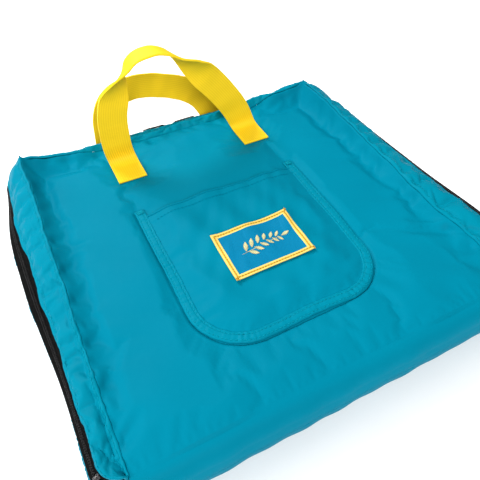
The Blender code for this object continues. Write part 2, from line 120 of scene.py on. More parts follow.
# Name, place, aim, size and power of each light.
LIGHTS = (("front", (-0.60, -2.30, 1.90), (0.0, 0.0, 0.03), 1.2, 82.0),
          ("left", (-1.0, 0.15, 0.55), (0.0, 0.0, 0.03), 0.5, 6.0),
          ("back", (-0.25, 0.95, 1.0), (0.0, 0.05, 0.03), 0.7, 20.0))
SURROUND = 0.45
FLOOR_REACH = 4.0
FLOOR_DROP = 0.1 * MM


def show(obj):
    bpy.context.scene.collection.objects.link(obj)


def camera():
    """The camera, from its heading, its downward pitch and its roll in degrees."""
    heading, pitch, roll = (math.radians(turn) for turn in CAMERA_TURNS)
    forward = Vector((math.sin(heading) * math.cos(pitch), math.cos(heading) * math.cos(pitch),
                      -math.sin(pitch)))
    level = Vector((math.cos(heading), -math.sin(heading), 0.0))
    upright = level.cross(forward)
    right = level * math.cos(roll) + upright * math.sin(roll)
    up = upright * math.cos(roll) - level * math.sin(roll)
    data = bpy.data.cameras.new("camera")
    data.lens = CAMERA_LENS
    data.sensor_width = 36.0
    data.clip_start = 0.01
    data.clip_end = 20.0
    obj = bpy.data.objects.new("camera", data)
    turn = Matrix((right, up, -forward)).transposed().to_4x4()
    obj.matrix_world = Matrix.Translation(CAMERA_PLACE) @ turn
    show(obj)
    bpy.context.scene.camera = obj


def area_light(name, place, aim, size, power):
    """A round soft light that faces its aim."""
    data = bpy.data.lights.new(name, "AREA")
    data.shape = "DISK"
    data.size = size
    data.energy = power
    obj = bpy.data.objects.new(name, data)
    obj.location = place
    obj.rotation_euler = (Vector(aim) - Vector(place)).to_track_quat("-Z", "Y").to_euler()
    show(obj)


def studio():
    """Three soft lights, a pale surround and a plain pale floor."""
    for light in LIGHTS:
        area_light(*light)
    world = bpy.data.worlds.new("studio")
    world.use_nodes = True
    world.node_tree.nodes["Background"].inputs["Color"].default_value = (1.0, 1.0, 1.0, 1.0)
    world.node_tree.nodes["Background"].inputs["Strength"].default_value = SURROUND
    bpy.context.scene.world = world
    bpy.context.scene.view_settings.view_transform = "Standard"

    mesh = bpy.data.meshes.new("floor")
    corners = [(x * FLOOR_REACH, y * FLOOR_REACH, 0) for x, y in ((-1, -1), (1, -1), (1, 1), (-1, 1))]
    mesh.from_pydata(corners, [], [(0, 1, 2, 3)])
    floor = bpy.data.objects.new("floor", mesh)
    floor.location.z = -FLOOR_DROP
    show(floor)
    nodes = Nodes("floor_paper", (0.93, 0.93, 0.93), 0.7)
    mottled = nodes.noise(nodes.object_coords(), 30.0, 3.0)
    nodes.tint(mottled, [(0.3, (0.925, 0.925, 0.925)), (0.7, (0.94, 0.94, 0.94))])
    floor.data.materials.append(nodes.material)


# ---- material helpers -----------------------------------------------------------------------------
class Nodes:
    """A small builder for procedural materials."""

    def __init__(self, name, colour, roughness, **constants):
        self.material = bpy.data.materials.new(name)
        self.material.use_nodes = True
        self.tree = self.material.node_tree
        self.shader = self.tree.nodes["Principled BSDF"]
        self.shader.inputs["Base Color"].default_value = (*colour, 1.0)
        self.shader.inputs["Roughness"].default_value = roughness
        for socket, value in constants.items():
            self.shader.inputs[socket.replace("_", " ")].default_value = value

    def node(self, kind, *inputs, **settings):
        made = self.tree.nodes.new(kind)
        for key, value in settings.items():
            setattr(made, key, value)
        for index, value in enumerate(inputs):
            if value is None:
                continue
            if isinstance(value, bpy.types.NodeSocket):
                self.tree.links.new(value, made.inputs[index])
            else:
                made.inputs[index].default_value = value
        return made

    def link(self, value, socket):
        self.tree.links.new(value, self.shader.inputs[socket])

    def uv(self):
        return self.node("ShaderNodeUVMap", uv_map="cloth").outputs[0]

    def object_coords(self):
        return self.node("ShaderNodeTexCoord").outputs["Object"]

    def math(self, operation, *values):
        return self.node("ShaderNodeMath", *values, operation=operation).outputs[0]

    def separate(self, vector):
        parts = self.node("ShaderNodeSeparateXYZ", vector)
        return parts.outputs[0], parts.outputs[1], parts.outputs[2]

    def noise(self, vector, scale, detail):
        made = self.node("ShaderNodeTexNoise")
        self.tree.links.new(vector, made.inputs["Vector"])
        made.inputs["Scale"].default_value = scale
        made.inputs["Detail"].default_value = detail
        return made.outputs["Fac"]

    def ramp(self, value, stops):
        made = self.node("ShaderNodeValToRGB", value)
        elements = made.color_ramp.elements
        while len(elements) < len(stops):
            elements.new(0.5)
        for element, (place, colour) in zip(elements, stops):
            element.position = place
            element.color = (*colour, 1.0)
        return made.outputs["Color"]

    def mix(self, factor, first, second, blend="MIX"):
        made = self.node("ShaderNodeMix", data_type="RGBA", blend_type=blend)
        for socket, value in zip((made.inputs[0], made.inputs[6], made.inputs[7]), (factor, first, second)):
            if isinstance(value, bpy.types.NodeSocket):
                self.tree.links.new(value, socket)
            elif isinstance(value, tuple):
                socket.default_value = (*value, 1.0)
            else:
                socket.default_value = value
        return made.outputs[2]

    def bump(self, height, strength, distance, under=None):
        made = self.node("ShaderNodeBump")
        made.inputs["Strength"].default_value = strength
        made.inputs["Distance"].default_value = distance
        self.tree.links.new(height, made.inputs["Height"])
        if under is not None:
            self.tree.links.new(under, made.inputs["Normal"])
        return made.outputs[0]

    def tint(self, value, stops):
        self.link(self.ramp(value, stops), "Base Color")

    def relief(self, height, strength, distance, under=None):
        self.link(self.bump(height, strength, distance, under), "Normal")

    def weave(self, across, along):
        """Plain weave: 1 where a thread is on top, from its two thread counts per metre."""
        u, v, _ = self.separate(self.uv())
        first = self.math("SINE", self.math("MULTIPLY", u, 2 * math.pi * across))
        second = self.math("SINE", self.math("MULTIPLY", v, 2 * math.pi * along))
        product = self.math("MULTIPLY", first, second)
        return self.math("MULTIPLY_ADD", product, 0.5, 0.5)


def nylon(name, colour, light, roughness, gloss):
    """Coated woven nylon: fine even weave, faint mottling, soft sheen."""
    nodes = Nodes(name, colour, roughness, Specular_IOR_Level=gloss)
    place = nodes.object_coords()
    broad = nodes.noise(place, 11.0, 2.0)
    fine = nodes.noise(place, 260.0, 3.0)
    tone = nodes.ramp(broad, [(0.3, colour), (0.72, light)])
    nodes.link(nodes.mix(nodes.math("MULTIPLY", fine, 0.10), tone, tuple(c * 0.72 for c in colour)),
               "Base Color")
    nodes.link(nodes.math("MULTIPLY_ADD", fine, 0.16, roughness - 0.08), "Roughness")
    woven = nodes.weave(1700.0, 1500.0)
    crepe = nodes.noise(place, 900.0, 2.0)
    rough = nodes.bump(crepe, 0.25, 0.15 * MM)
    nodes.relief(woven, 0.25, 0.08 * MM, rough)
    return nodes.material


def webbing_material():
    """Woven polypropylene webbing: lengthwise ribs with slanting yarns, and painted shade in the grooves
    between the ribs, deepest at the bend 32 mm from the strap's start.
    """
    yellow = (0.86, 0.58, 0.012)
    nodes = Nodes("webbing", yellow, 0.55, Specular_IOR_Level=0.15)
    u, v, _ = nodes.separate(nodes.uv())
    slant = nodes.math("ADD", nodes.math("MULTIPLY", u, 2 * math.pi * 1000 / 3.9),
                       nodes.math("MULTIPLY", v, 2 * math.pi * 1000 / 1.3))
    yarn = nodes.math("MULTIPLY_ADD", nodes.math("SINE", slant), 0.5, 0.5)
    rib = nodes.math("MULTIPLY_ADD",
                     nodes.math("COSINE", nodes.math("MULTIPLY", u, 2 * math.pi * 1000 / 1.92)), 0.5, 0.5)
    fuzz = nodes.noise(nodes.object_coords(), 700.0, 3.0)
    # Painted shade: a darker orange is painted between the ribs, strongest round the bend where the strap
    # leaves its first foot.
    painted_bend_shade = nodes.math("ABSOLUTE", nodes.math("SUBTRACT", v, 0.032))
    painted_bend_shade = nodes.node("ShaderNodeMapRange", painted_bend_shade, 0.0, 0.012, 1.0, 0.0).outputs[0]
    depth = nodes.math("MULTIPLY_ADD", painted_bend_shade, 0.40, 0.30)
    # Dark orange here is painted shade between the ribs.
    tone = nodes.mix(nodes.math("MULTIPLY", nodes.math("SUBTRACT", 1.0, rib), depth), yellow,
                     (0.60, 0.33, 0.0))
    tone = nodes.mix(nodes.math("MULTIPLY", fuzz, 0.16), tone, (0.88, 0.64, 0.04))
    nodes.link(tone, "Base Color")
    height = nodes.math("ADD", nodes.math("MULTIPLY", yarn, 0.5), nodes.math("MULTIPLY", fuzz, 0.4))
    nodes.relief(height, 0.5, 0.18 * MM)
    return nodes.material


def tape_material():
    """Black woven zip tape."""
    nodes = Nodes("zip_tape", (0.003, 0.003, 0.003), 0.8, Specular_IOR_Level=0.03)
    woven = nodes.weave(900.0, 700.0)
    fuzz = nodes.noise(nodes.object_coords(), 500.0, 3.0)
    nodes.tint(fuzz, [(0.3, (0.001, 0.001, 0.001)), (0.75, (0.005, 0.005, 0.005))])
    nodes.relief(woven, 0.6, 0.15 * MM)
    return nodes.material


def coil_material():
    """Black nylon monofilament, a little shiny and scuffed on top."""
    nodes = Nodes("zip_coil", (0.006, 0.006, 0.006), 0.4, Specular_IOR_Level=0.12)
    scuff = nodes.noise(nodes.object_coords(), 300.0, 4.0)
    nodes.tint(scuff, [(0.35, (0.003, 0.003, 0.003)), (0.8, (0.012, 0.011, 0.012))])
    nodes.link(nodes.math("MULTIPLY_ADD", scuff, 0.3, 0.18), "Roughness")
    nodes.relief(scuff, 0.2, 0.05 * MM)
    return nodes.material


def metal_material():
    """Black lacquered zinc with bright wear."""
    nodes = Nodes("zip_metal", (0.03, 0.03, 0.032), 0.35, Metallic=0.85, Specular_IOR_Level=0.5)
    wear = nodes.noise(nodes.object_coords(), 420.0, 5.0)
    nodes.tint(wear, [(0.55, (0.035, 0.034, 0.036)), (0.78, (0.32, 0.31, 0.30))])
    nodes.link(nodes.math("MULTIPLY_ADD", wear, 0.4, 0.15), "Roughness")
    nodes.relief(wear, 0.15, 0.05 * MM)
    return nodes.material


def lining_material():
    """Soft brushed polyester lining."""
    nodes = Nodes("lining", (0.30, 0.32, 0.34), 0.85, Sheen_Weight=0.4, Sheen_Roughness=0.5)
    place = nodes.object_coords()
    fuzz = nodes.noise(place, 420.0, 5.0)
    broad = nodes.noise(place, 14.0, 2.0)
    tone = nodes.ramp(broad, [(0.3, (0.26, 0.28, 0.30)), (0.7, (0.34, 0.36, 0.38))])
    nodes.link(nodes.mix(nodes.math("MULTIPLY", fuzz, 0.35), tone, (0.16, 0.17, 0.19)), "Base Color")
    height = nodes.math("ADD", nodes.weave(1100.0, 1100.0), nodes.math("MULTIPLY", fuzz, 1.5))
    nodes.relief(height, 0.4, 0.2 * MM)
    return nodes.material


def foam_material():
    """Open-celled foam, painted darker in the middle of each cell as shade in its pores."""
    nodes = Nodes("foam", (0.62, 0.60, 0.52), 0.95, Sheen_Weight=0.1)
    cells = nodes.node("ShaderNodeTexVoronoi")
    nodes.tree.links.new(nodes.object_coords(), cells.inputs["Vector"])
    cells.inputs["Scale"].default_value = 750.0
    pores = cells.outputs["Distance"]
    # Painted shade: each cell is painted darker towards its middle, where its pore is hollow.
    nodes.tint(pores, [(0.1, (0.34, 0.32, 0.26)), (0.5, (0.66, 0.64, 0.55))])
    nodes.relief(pores, 0.6, 0.4 * MM)
    return nodes.material


def thread_material(name, colour):
    """Twisted sewing thread."""
    nodes = Nodes(name, colour, 0.6, Specular_IOR_Level=0.05)
    fibre = nodes.noise(nodes.object_coords(), 1500.0, 3.0)
    nodes.link(nodes.mix(nodes.math("MULTIPLY", fibre, 0.5), colour, tuple(c * 0.55 for c in colour)),
               "Base Color")
    nodes.relief(fibre, 0.5, 0.1 * MM)
    return nodes.material


# ---- mesh helpers ---------------------------------------------------------------------------------
def waves(u, v, length_u, length_v, seed, count):
    """A smooth random field of unit size with about the given wavelengths."""
    rng = np.random.default_rng(seed)
    total = np.zeros(np.broadcast(u, v).shape)
    for _ in range(count):
        angle = rng.uniform(0, 2 * math.pi)
        size = rng.uniform(0.55, 1.45)
        phase = rng.uniform(0, 2 * math.pi)
        total += np.cos(2 * math.pi * size * (u * math.cos(angle) / length_u
                                              + v * math.sin(angle) / length_v) + phase)
    return total * math.sqrt(2 / count)


def ripples(at, length, seed, count):
    """Waves along one direction only."""
    return waves(at, 0 * at, length, 1.0, seed, count)


def bell(offset, width):
    """1 at no offset, falling away smoothly."""
    return np.exp(-(offset / width) ** 2)


def through(points):
    """A smooth function through (place, value) pairs in millimetres; takes and gives metres."""
    places, values = (np.array(side, float) for side in zip(*points))
    dense = np.arange(places[0] - 40, places[-1] + 40, 1.0)
    straight = np.interp(dense, places, values)
    kernel = np.exp(-0.5 * (np.arange(-30, 31) / 9.0) ** 2)
    padded = np.pad(straight, 30, mode="edge")
    smooth = np.convolve(padded, kernel / kernel.sum(), mode="valid")
    return lambda at: np.interp(np.asarray(at) / MM, dense, smooth) * MM


def ease(value, start, end):
    """0 before start, 1 after end, smooth between."""
    share = np.clip((value - start) / (end - start), 0.0, 1.0)
    return share * share * (3 - 2 * share)


def grid_normals(points):
    """Unit normal of each point of a (rows, columns, 3) grid."""
    down = np.gradient(points, axis=0)
    across = np.gradient(points, axis=1)
    normal = np.cross(across, down)
    return normal / np.maximum(np.linalg.norm(normal, axis=2, keepdims=True), 1e-12)


def lengths(points, axis):
    """Distance along a grid's rows or columns, averaged over the other direction."""
    steps = np.linalg.norm(np.diff(points, axis=axis), axis=2).mean(axis=1 - axis)
    return np.concatenate([[0.0], np.cumsum(steps)])


def link(name, vertices, faces, material, uvs=None):
    """A smooth mesh object with one material, and cloth coordinates where they are given."""
    mesh = bpy.data.meshes.new(name)
    mesh.from_pydata(vertices.tolist() if hasattr(vertices, "tolist") else vertices, [], faces)
    mesh.polygons.foreach_set("use_smooth", [True] * len(mesh.polygons))
    if uvs is not None:
        layer = mesh.uv_layers.new(name="cloth")
        loops = np.empty(len(mesh.loops), int)
        mesh.loops.foreach_get("vertex_index", loops)
        layer.data.foreach_set("uv", np.asarray(uvs)[loops].ravel())
    mesh.materials.append(material)
    mesh.update()
    obj = bpy.data.objects.new(name, mesh)
    show(obj)
    return obj


def cloth(name, points, thickness, material, plan=False):
    """A closed sheet of the given thickness about a (rows, columns, 3) grid of points.

    Its cloth coordinates are distances along the grid, or x and y with plan.
    """
    rows, columns = points.shape[:2]
    normal = grid_normals(points)
    face = points + normal * thickness / 2
    back = points - normal * thickness / 2
    vertices = np.concatenate([face.reshape(-1, 3), back.reshape(-1, 3)])
    u, v = np.meshgrid(lengths(points, 1), lengths(points, 0))
    uv = points[..., :2].reshape(-1, 2) if plan else np.stack([u.ravel(), v.ravel()], axis=1)
    return link(name, vertices, sheet_faces(rows, columns), material, np.concatenate([uv, uv]))


def travelled(line):
    """Distance of each point of a line from its start."""
    return np.concatenate([[0.0], np.cumsum(np.linalg.norm(np.diff(line, axis=0), axis=1))])


def sample(at, gone, values):
    """Rows of values read off at distances along a line."""
    return np.stack([np.interp(at, gone, column) for column in values.T], axis=1)


def resampled(line, count):
    """The line again, as evenly spaced points."""
    gone = travelled(line)
    return sample(np.linspace(0, gone[-1], count), gone, line)


def catmull(points, steps):
    """A smooth curve through points, with a number of steps from each to the next."""
    points = np.array(points, float)
    dense = []
    for i in range(len(points) - 1):
        p0, p1, p2 = points[max(i - 1, 0)], points[i], points[i + 1]
        p3 = points[min(i + 2, len(points) - 1)]
        for t in np.linspace(0, 1, steps, endpoint=False):
            dense.append(0.5 * ((2 * p1) + (-p0 + p2) * t + (2 * p0 - 5 * p1 + 4 * p2 - p3) * t ** 2
                                + (-p0 + 3 * p1 - 3 * p2 + p3) * t ** 3))
    return np.array(dense + [points[-1]])


def tube_faces(base, levels, sides, mirrored=False):
    """Faces of a closed tube of point rings that follow each other from the point numbered base."""
    faces = []
    for level in range(levels - 1):
        for corner in range(sides):
            a = base + level * sides + corner
            b = base + level * sides + (corner + 1) % sides
            faces.append((a, a + sides, b + sides, b) if mirrored else (a, b, b + sides, a + sides))
    first = tuple(range(base, base + sides))
    last = tuple(point + (levels - 1) * sides for point in first)
    return faces + ([first, last[::-1]] if mirrored else [first[::-1], last])


def sheet_faces(rows, columns, mirrored=False):
    """Faces of a closed sheet of two grids of points, the lower one numbered after the upper one."""
    index = np.arange(rows * columns).reshape(rows, columns)
    a, b = index[:-1, :-1].ravel(), index[:-1, 1:].ravel()
    c, d = index[1:, 1:].ravel(), index[1:, :-1].ravel()
    under = rows * columns
    upper, lower = ((a, b, c, d), (a, d, c, b)) if mirrored else ((a, d, c, b), (a, b, c, d))
    faces = list(zip(*upper)) + list(zip(*(points + under for points in lower)))
    rim = list(index[0, :]) + list(index[1:, -1]) + list(index[-1, -2::-1]) + list(index[-2:0:-1, 0])
    for first, second in zip(rim, rim[1:] + rim[:1]):
        start, end = (second, first) if mirrored else (first, second)
        faces.append((start, end, end + under, start + under))
    return [tuple(int(point) for point in face) for face in faces]


def belongs(piece, body, slot, *nodes):
    """The piece moves with a body and stands for CAD nodes, which it hides. The slot is not used."""
    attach(piece, body)
    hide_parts(*nodes)


def stitches(name, lines, normals, pitch, material, radius=0.32 * MM, share=0.72):
    """Rows of thread stitches along lines; each stitch is a small closed lens."""
    vertices, faces = [], []
    sides = 6
    lift = 0.15 * MM
    profile = [(0.0, 0.15), (0.18, 0.8), (0.5, 1.0), (0.82, 0.8), (1.0, 0.15)]
    for line, normal in zip(lines, normals):
        line = np.asarray(line, float)
        gone = travelled(line)
        total = gone[-1]
        count = max(int(total / pitch), 1)
        starts = (np.arange(count) + 0.5 * (1 - share)) * total / count
        ends = starts + share * total / count
        up = sample(starts, gone, np.broadcast_to(normal, line.shape))
        for begin, end, out in zip(sample(starts, gone, line), sample(ends, gone, line), up):
            run = end - begin
            size = np.linalg.norm(run)
            if size < 1e-6:
                continue
            out = out / np.linalg.norm(out)
            side = np.cross(run / size, out)
            base = len(vertices)
            for at, width in profile:
                centre = begin + run * at + out * (lift + radius * 0.35 * math.sin(math.pi * at))
                for corner in range(sides):
                    angle = 2 * math.pi * corner / sides
                    offset = side * math.cos(angle) + out * math.sin(angle)
                    vertices.append(centre + offset * radius * width)
            faces += tube_faces(base, len(profile), sides)
    return link(name, np.array(vertices), faces, material)


# ---- cloth simulation -----------------------------------------------------------------------------
def relax(points, held, growth, pressure, bending=0.4):
    """Let slack cloth buckle: a sheet a little too big for its held edges, run as cloth.

    The sheet is simulated ten times its size, where the solver is steady, and every other row and
    column of the grid takes part. The whole grid comes back, moved by no more than a set distance.
    """
    scale, frames, most = 10.0, 18, 4 * MM
    coarse = points[::2, ::2]
    rows, columns = coarse.shape[:2]
    index = np.arange(rows * columns).reshape(rows, columns)
    corners = (index[:-1, :-1].ravel(), index[1:, :-1].ravel(), index[1:, 1:].ravel(), index[:-1, 1:].ravel())
    faces = [tuple(int(i) for i in face) for face in zip(*corners)]
    mesh = bpy.data.meshes.new("relax")
    mesh.from_pydata((coarse.reshape(-1, 3) * scale).tolist(), [], faces)
    obj = bpy.data.objects.new("relax", mesh)
    show(obj)
    group = obj.vertex_groups.new(name="held")
    for vertex, weight in enumerate(held[::2, ::2].ravel()):
        group.add([vertex], float(weight), "REPLACE")
    modifier = obj.modifiers.new("relax", "CLOTH")
    settings = modifier.settings
    settings.quality = 8
    settings.mass = 0.3
    settings.tension_stiffness = settings.compression_stiffness = 25.0
    settings.shear_stiffness = 8.0
    settings.bending_stiffness = bending
    settings.air_damping = 2.0
    settings.vertex_group_mass = "held"
    settings.effector_weights.gravity = 0.0
    settings.shrink_min = -growth
    settings.use_pressure = True
    settings.uniform_pressure_force = pressure
    modifier.collision_settings.use_collision = False
    modifier.point_cache.frame_start = 1
    modifier.point_cache.frame_end = frames
    scene = bpy.context.scene
    for number in range(1, frames + 1):
        scene.frame_set(number)
    settled = obj.evaluated_get(bpy.context.evaluated_depsgraph_get())
    coords = np.empty(rows * columns * 3)
    settled.data.vertices.foreach_get("co", coords)
    moved = coords.reshape(rows, columns, 3) / scale - coarse
    bpy.data.objects.remove(obj)
    bpy.data.meshes.remove(mesh)
    scene.frame_set(1)
    size = np.linalg.norm(moved, axis=2, keepdims=True)
    moved = moved * np.minimum(1.0, most / np.maximum(size, 1e-9))
    return points + spread_grid(moved, points.shape[0], points.shape[1])


def spread_grid(values, rows, columns):
    """Values of every other row and column, filled in between."""
    at_rows, at_columns = np.arange(rows), np.arange(columns)
    down = np.empty((rows, values.shape[1], 3))
    full = np.empty((rows, columns, 3))
    for axis in range(3):
        for column in range(values.shape[1]):
            down[:, column, axis] = np.interp(at_rows, at_rows[::2], values[:, column, axis])
        for row in range(rows):
            full[row, :, axis] = np.interp(at_columns, at_columns[::2], down[row, :, axis])
    return full


# ---- the case: shared seam lines ------------------------------------------------------------------
RIDGE_LEFT = through([(-140, 45), (-110, 45.5), (-70, 50.5), (50, 55.5), (147, 62.5)])
RIDGE_RIGHT = through([(-140, 45), (-110, 45.5), (-70, 51.5), (10, 57), (110, 62.5), (147, 60)])
SEAM_FAR = through([(-147, 62), (-80, 47.5), (0, 43), (70, 43.5), (95, 52), (147, 60)])
CREST_FAR = through([(-147, 61), (-100, 53.5), (-30, 49.5), (40, 50.5), (147, 61)])
WANDER = {"left": (21, 1.0), "right": (22, 0.45)}
FAR_CALM = 0.02


def calm_far(at):
    """1 along a side, falling to 0 at the far corner."""
    return 1 - ease(np.asarray(at), FAR - FAR_CALM, FAR)


def side_wobble(at, side):
    """How far a side seam wanders out of line."""
    seed, size = WANDER[side]
    fade = ease(np.asarray(at), FOLD_START - 2 * MM, FOLD_START + 28 * MM) * calm_far(at)
    return size * (0.55 * MM * ripples(at, 0.055, seed, 10)
                   + 0.28 * MM * ripples(at, 0.019, seed + 1, 10)) * fade


def stray(at):
    """How far the right seam bows outward near the fold."""
    return 8 * MM * bell(np.asarray(at) + 92 * MM, 26 * MM)


def ridge_height(side, at):
    """Height of a side ridge, with small puckers between stitches."""
    smooth = (RIDGE_LEFT if side == "left" else RIDGE_RIGHT)(at)
    fade = calm_far(at)
    seed = 31 if side == "left" else 41
    return smooth + fade * (0.5 * MM * ripples(at, 0.045, seed, 12)
                            + 0.2 * MM * ripples(at, 0.013, seed + 1, 12))


def seam_height(at):
    """Height of the far seam."""
    fade = 1 - ease(np.abs(at), HALF - 0.02, HALF)
    return SEAM_FAR(at) + fade * 0.6 * MM * ripples(at, 0.030, 51, 12)


def fold_profile(z_panel, towards):
    """(y, z) pairs down the fold, from a panel's plane to the middle of the fold."""
    arc = [(FOLD_START - FOLD_RADIUS * math.sin(turn), z_panel + towards * FOLD_RADIUS * (1 - math.cos(turn)))
           for turn in np.radians(np.linspace(6, 90, 15))]
    end = arc[-1][1]
    drop = [(arc[-1][0] - 1.2 * MM * math.sin(math.pi / 2 * s), end + (MIDDLE_Z - end) * s)
            for s in np.linspace(0.1, 1.0, 9)]
    return arc + drop


def fold_rows(x, z_panel, towards, face):
    """Rows of cloth down the fold, from the case's outer face at that height, rippled on the way."""
    rows = []
    for y, z in fold_profile(z_panel, towards):
        share = min(1.0, max(0.0, (face - z) / (face - MIDDLE_Z)))
        ripple = 0.35 * MM * ripples(x, 0.035, 81, 8) * math.sin(math.pi * share)
        rows.append(np.stack([x, y + ripple, np.full_like(x, z)], axis=1)[None])
    return rows


def soft_max(*heights):
    """The largest height, rounded where two are alike."""
    return sum(np.maximum(h, 0.0) ** 3 for h in heights) ** (1 / 3)


def dip_places(seed, count):
    """(place, depth) of each dip along a seam: uneven, in millimetres."""
    rng = np.random.default_rng(seed)
    span = 250.0
    pitch = span / count
    return [(-span / 2 + pitch * (number + rng.uniform(0.2, 0.8)), rng.uniform(1.2, 2.8))
            for number in range(count)]


DIPS_LEFT, DIPS_RIGHT, DIPS_FAR = dip_places(24, 8), dip_places(25, 10), dip_places(26, 7)


def dips(along_seam, inward, places, lean):
    """Small sharp dips where the cover is drawn in at a seam; they fade into the cover in a V."""
    total = 0.0
    for place, depth in places:
        reach = (5.0 + 1.6 * depth) * MM
        offset = along_seam - place * MM - lean * inward
        spread = 3.2 * MM + 0.30 * np.maximum(inward, 0)
        total = total - (depth * MM * bell(offset, spread) * bell(inward - 4.5 * MM, reach)
                         * ease(inward, 0.2 * MM, 4.5 * MM))
    return total


def u_distance(x, y, half, corner, bottom):
    """Distance outside a U shape with straight sides, round corners and an open top."""
    centre_y = bottom + corner
    ax = np.abs(x)
    straight = ax - half
    round_part = np.hypot(np.maximum(ax - (half - corner), 0), np.minimum(y - centre_y, 0)) - corner
    return np.where(y > centre_y, straight, round_part)


def drawn_shape(x, y):
    """Height of the front cover over its flat plane, before it settles."""
    left = ridge_height("left", y) - TOP
    right = ridge_height("right", y) - TOP
    far = seam_height(x) - TOP
    fade = ease(y, FOLD_START - 2 * MM, FOLD_START + 20 * MM)
    from_left = np.clip((x + HALF) / (15 * MM), 0, 1)
    from_right = np.clip((HALF - x) / (16 * MM), 0, 1)
    from_far = np.clip((FAR - y) / (20 * MM), 0, 1)
    rise = soft_max(left * fade * (1 - from_left) ** 1.9, right * fade * (1 - from_right) ** 2.1,
                    far * (1 - from_far) ** 2.0)
    broad = 0.9 * MM * waves(x, y, 0.130, 0.150, 61, 16)
    middle = 0.28 * MM * waves(x, y, 0.050, 0.070, 62, 24)
    edge = np.minimum.reduce([x + HALF, HALF - x, FAR - y])
    foot = (ease(np.abs(np.abs(x) - FOOT_X), 22 * MM, 13 * MM)
            * ease(y, FOOT_NEAR - 12 * MM, FOOT_NEAR - 2 * MM) * (1 - ease(y, LEAVE_Y, LEAVE_Y + 12 * MM)))
    inside = ease(edge, 0.0, 0.030) * (1 - foot)
    near_left = np.exp(-(x + HALF) / (12 * MM)) * ease(x + HALF, 0, 4 * MM)
    near_right = np.exp(-(HALF - x) / (16 * MM)) * ease(HALF - x, 0, 4 * MM)
    near_far = np.exp(-(FAR - y) / (14 * MM)) * ease(FAR - y, 0, 4 * MM)
    puckers = (near_left * 0.75 * MM * ripples(y + 0.35 * x, 0.019, 71, 12)
               + near_right * 0.75 * MM * ripples(y + 0.55 * x, 0.018, 72, 12)
               + near_far * 0.6 * MM * ripples(x, 0.023, 73, 12)) * fade
    sharp = (dips(y, x + HALF, DIPS_LEFT, 0.3) + dips(y, HALF - x, DIPS_RIGHT, -0.5)
             + dips(x, FAR - y, DIPS_FAR, 0.2)) * fade
    outside = u_distance(x, y, POCKET_HALF, CORNER, POCKET_BOTTOM)
    below_mouth = ease(y, BIND_HIGH.y + 2 * MM, BIND_HIGH.y - 2 * MM)
    groove = 1.4 * MM * bell(outside - 0.6 * MM, 1.2 * MM) * below_mouth
    return rise + inside * (broad + middle) + puckers + sharp - groove


def settle_cover():
    """Slack that the cover takes when it buckles between its seams, as a height field."""
    x = np.linspace(-HALF, HALF, 221)
    y = np.linspace(FAR, FOLD_START, 221)
    gx, gy = np.meshgrid(x, y)
    start = np.stack([gx, gy, TOP + drawn_shape(gx, gy)], axis=2)
    edge = np.minimum.reduce([gx + HALF, HALF - gx, FAR - gy, gy - FOLD_START])
    outside = u_distance(gx, gy, POCKET_HALF, CORNER, POCKET_BOTTOM)
    foot = (np.abs(np.abs(gx) - FOOT_X) < 14 * MM) & (gy > FOOT_NEAR - 3 * MM) & (gy < LEAVE_Y + 5 * MM)
    held = np.where(edge < 2.5 * MM, 1.0, 0.0)
    held = np.maximum(held, np.where(foot, 1.0, 0.0))
    held = np.maximum(held, np.where((np.abs(outside + BAND / 2) < 4 * MM) & (gy < BIND_HIGH.y), 0.6, 0.0))
    moved = relax(start, held, 0.008, 0.4, bending=0.8) - start
    return x, y[::-1], moved[::-1, :, 2]


def slack(x, y):
    """The settled cover's extra height at a place."""
    across, down, height = SLACK
    column = np.clip(np.interp(x, across, np.arange(len(across))), 0, len(across) - 1.001)
    row = np.clip(np.interp(y, down, np.arange(len(down))), 0, len(down) - 1.001)
    j, i = column.astype(int), row.astype(int)
    u, v = column - j, row - i
    return ((height[i, j] * (1 - u) + height[i, j + 1] * u) * (1 - v)
            + (height[i + 1, j] * (1 - u) + height[i + 1, j + 1] * u) * v)


def panel_shape(x, y):
    """Height of the slack front cover over its flat plane."""
    return drawn_shape(x, y) + slack(x, y)


def front_cover(material):
    """Upper cover: one slack sheet from the far seam over the fold to its middle."""
    x = np.linspace(-1, 1, 360) * HALF
    y = np.linspace(FAR - 0.2 * MM, FOLD_START, 350)
    gx, gy = np.meshgrid(x, y)
    gz = TOP - SHELL / 2 + panel_shape(gx, gy)
    share = gx / HALF
    gx = gx + np.abs(share) ** 12 * np.where(gx < 0, side_wobble(gy, "left"), side_wobble(gy, "right"))
    gx = gx + np.clip(share, 0, 1) ** 3 * stray(gy)
    rows = [np.stack([gx, gy, gz], axis=2)] + fold_rows(x, TOP - SHELL / 2, -1, TOP)
    piece = cloth("front_cover", np.concatenate(rows), SHELL, material)
    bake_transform(piece)
    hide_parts("front_panel")
    return piece


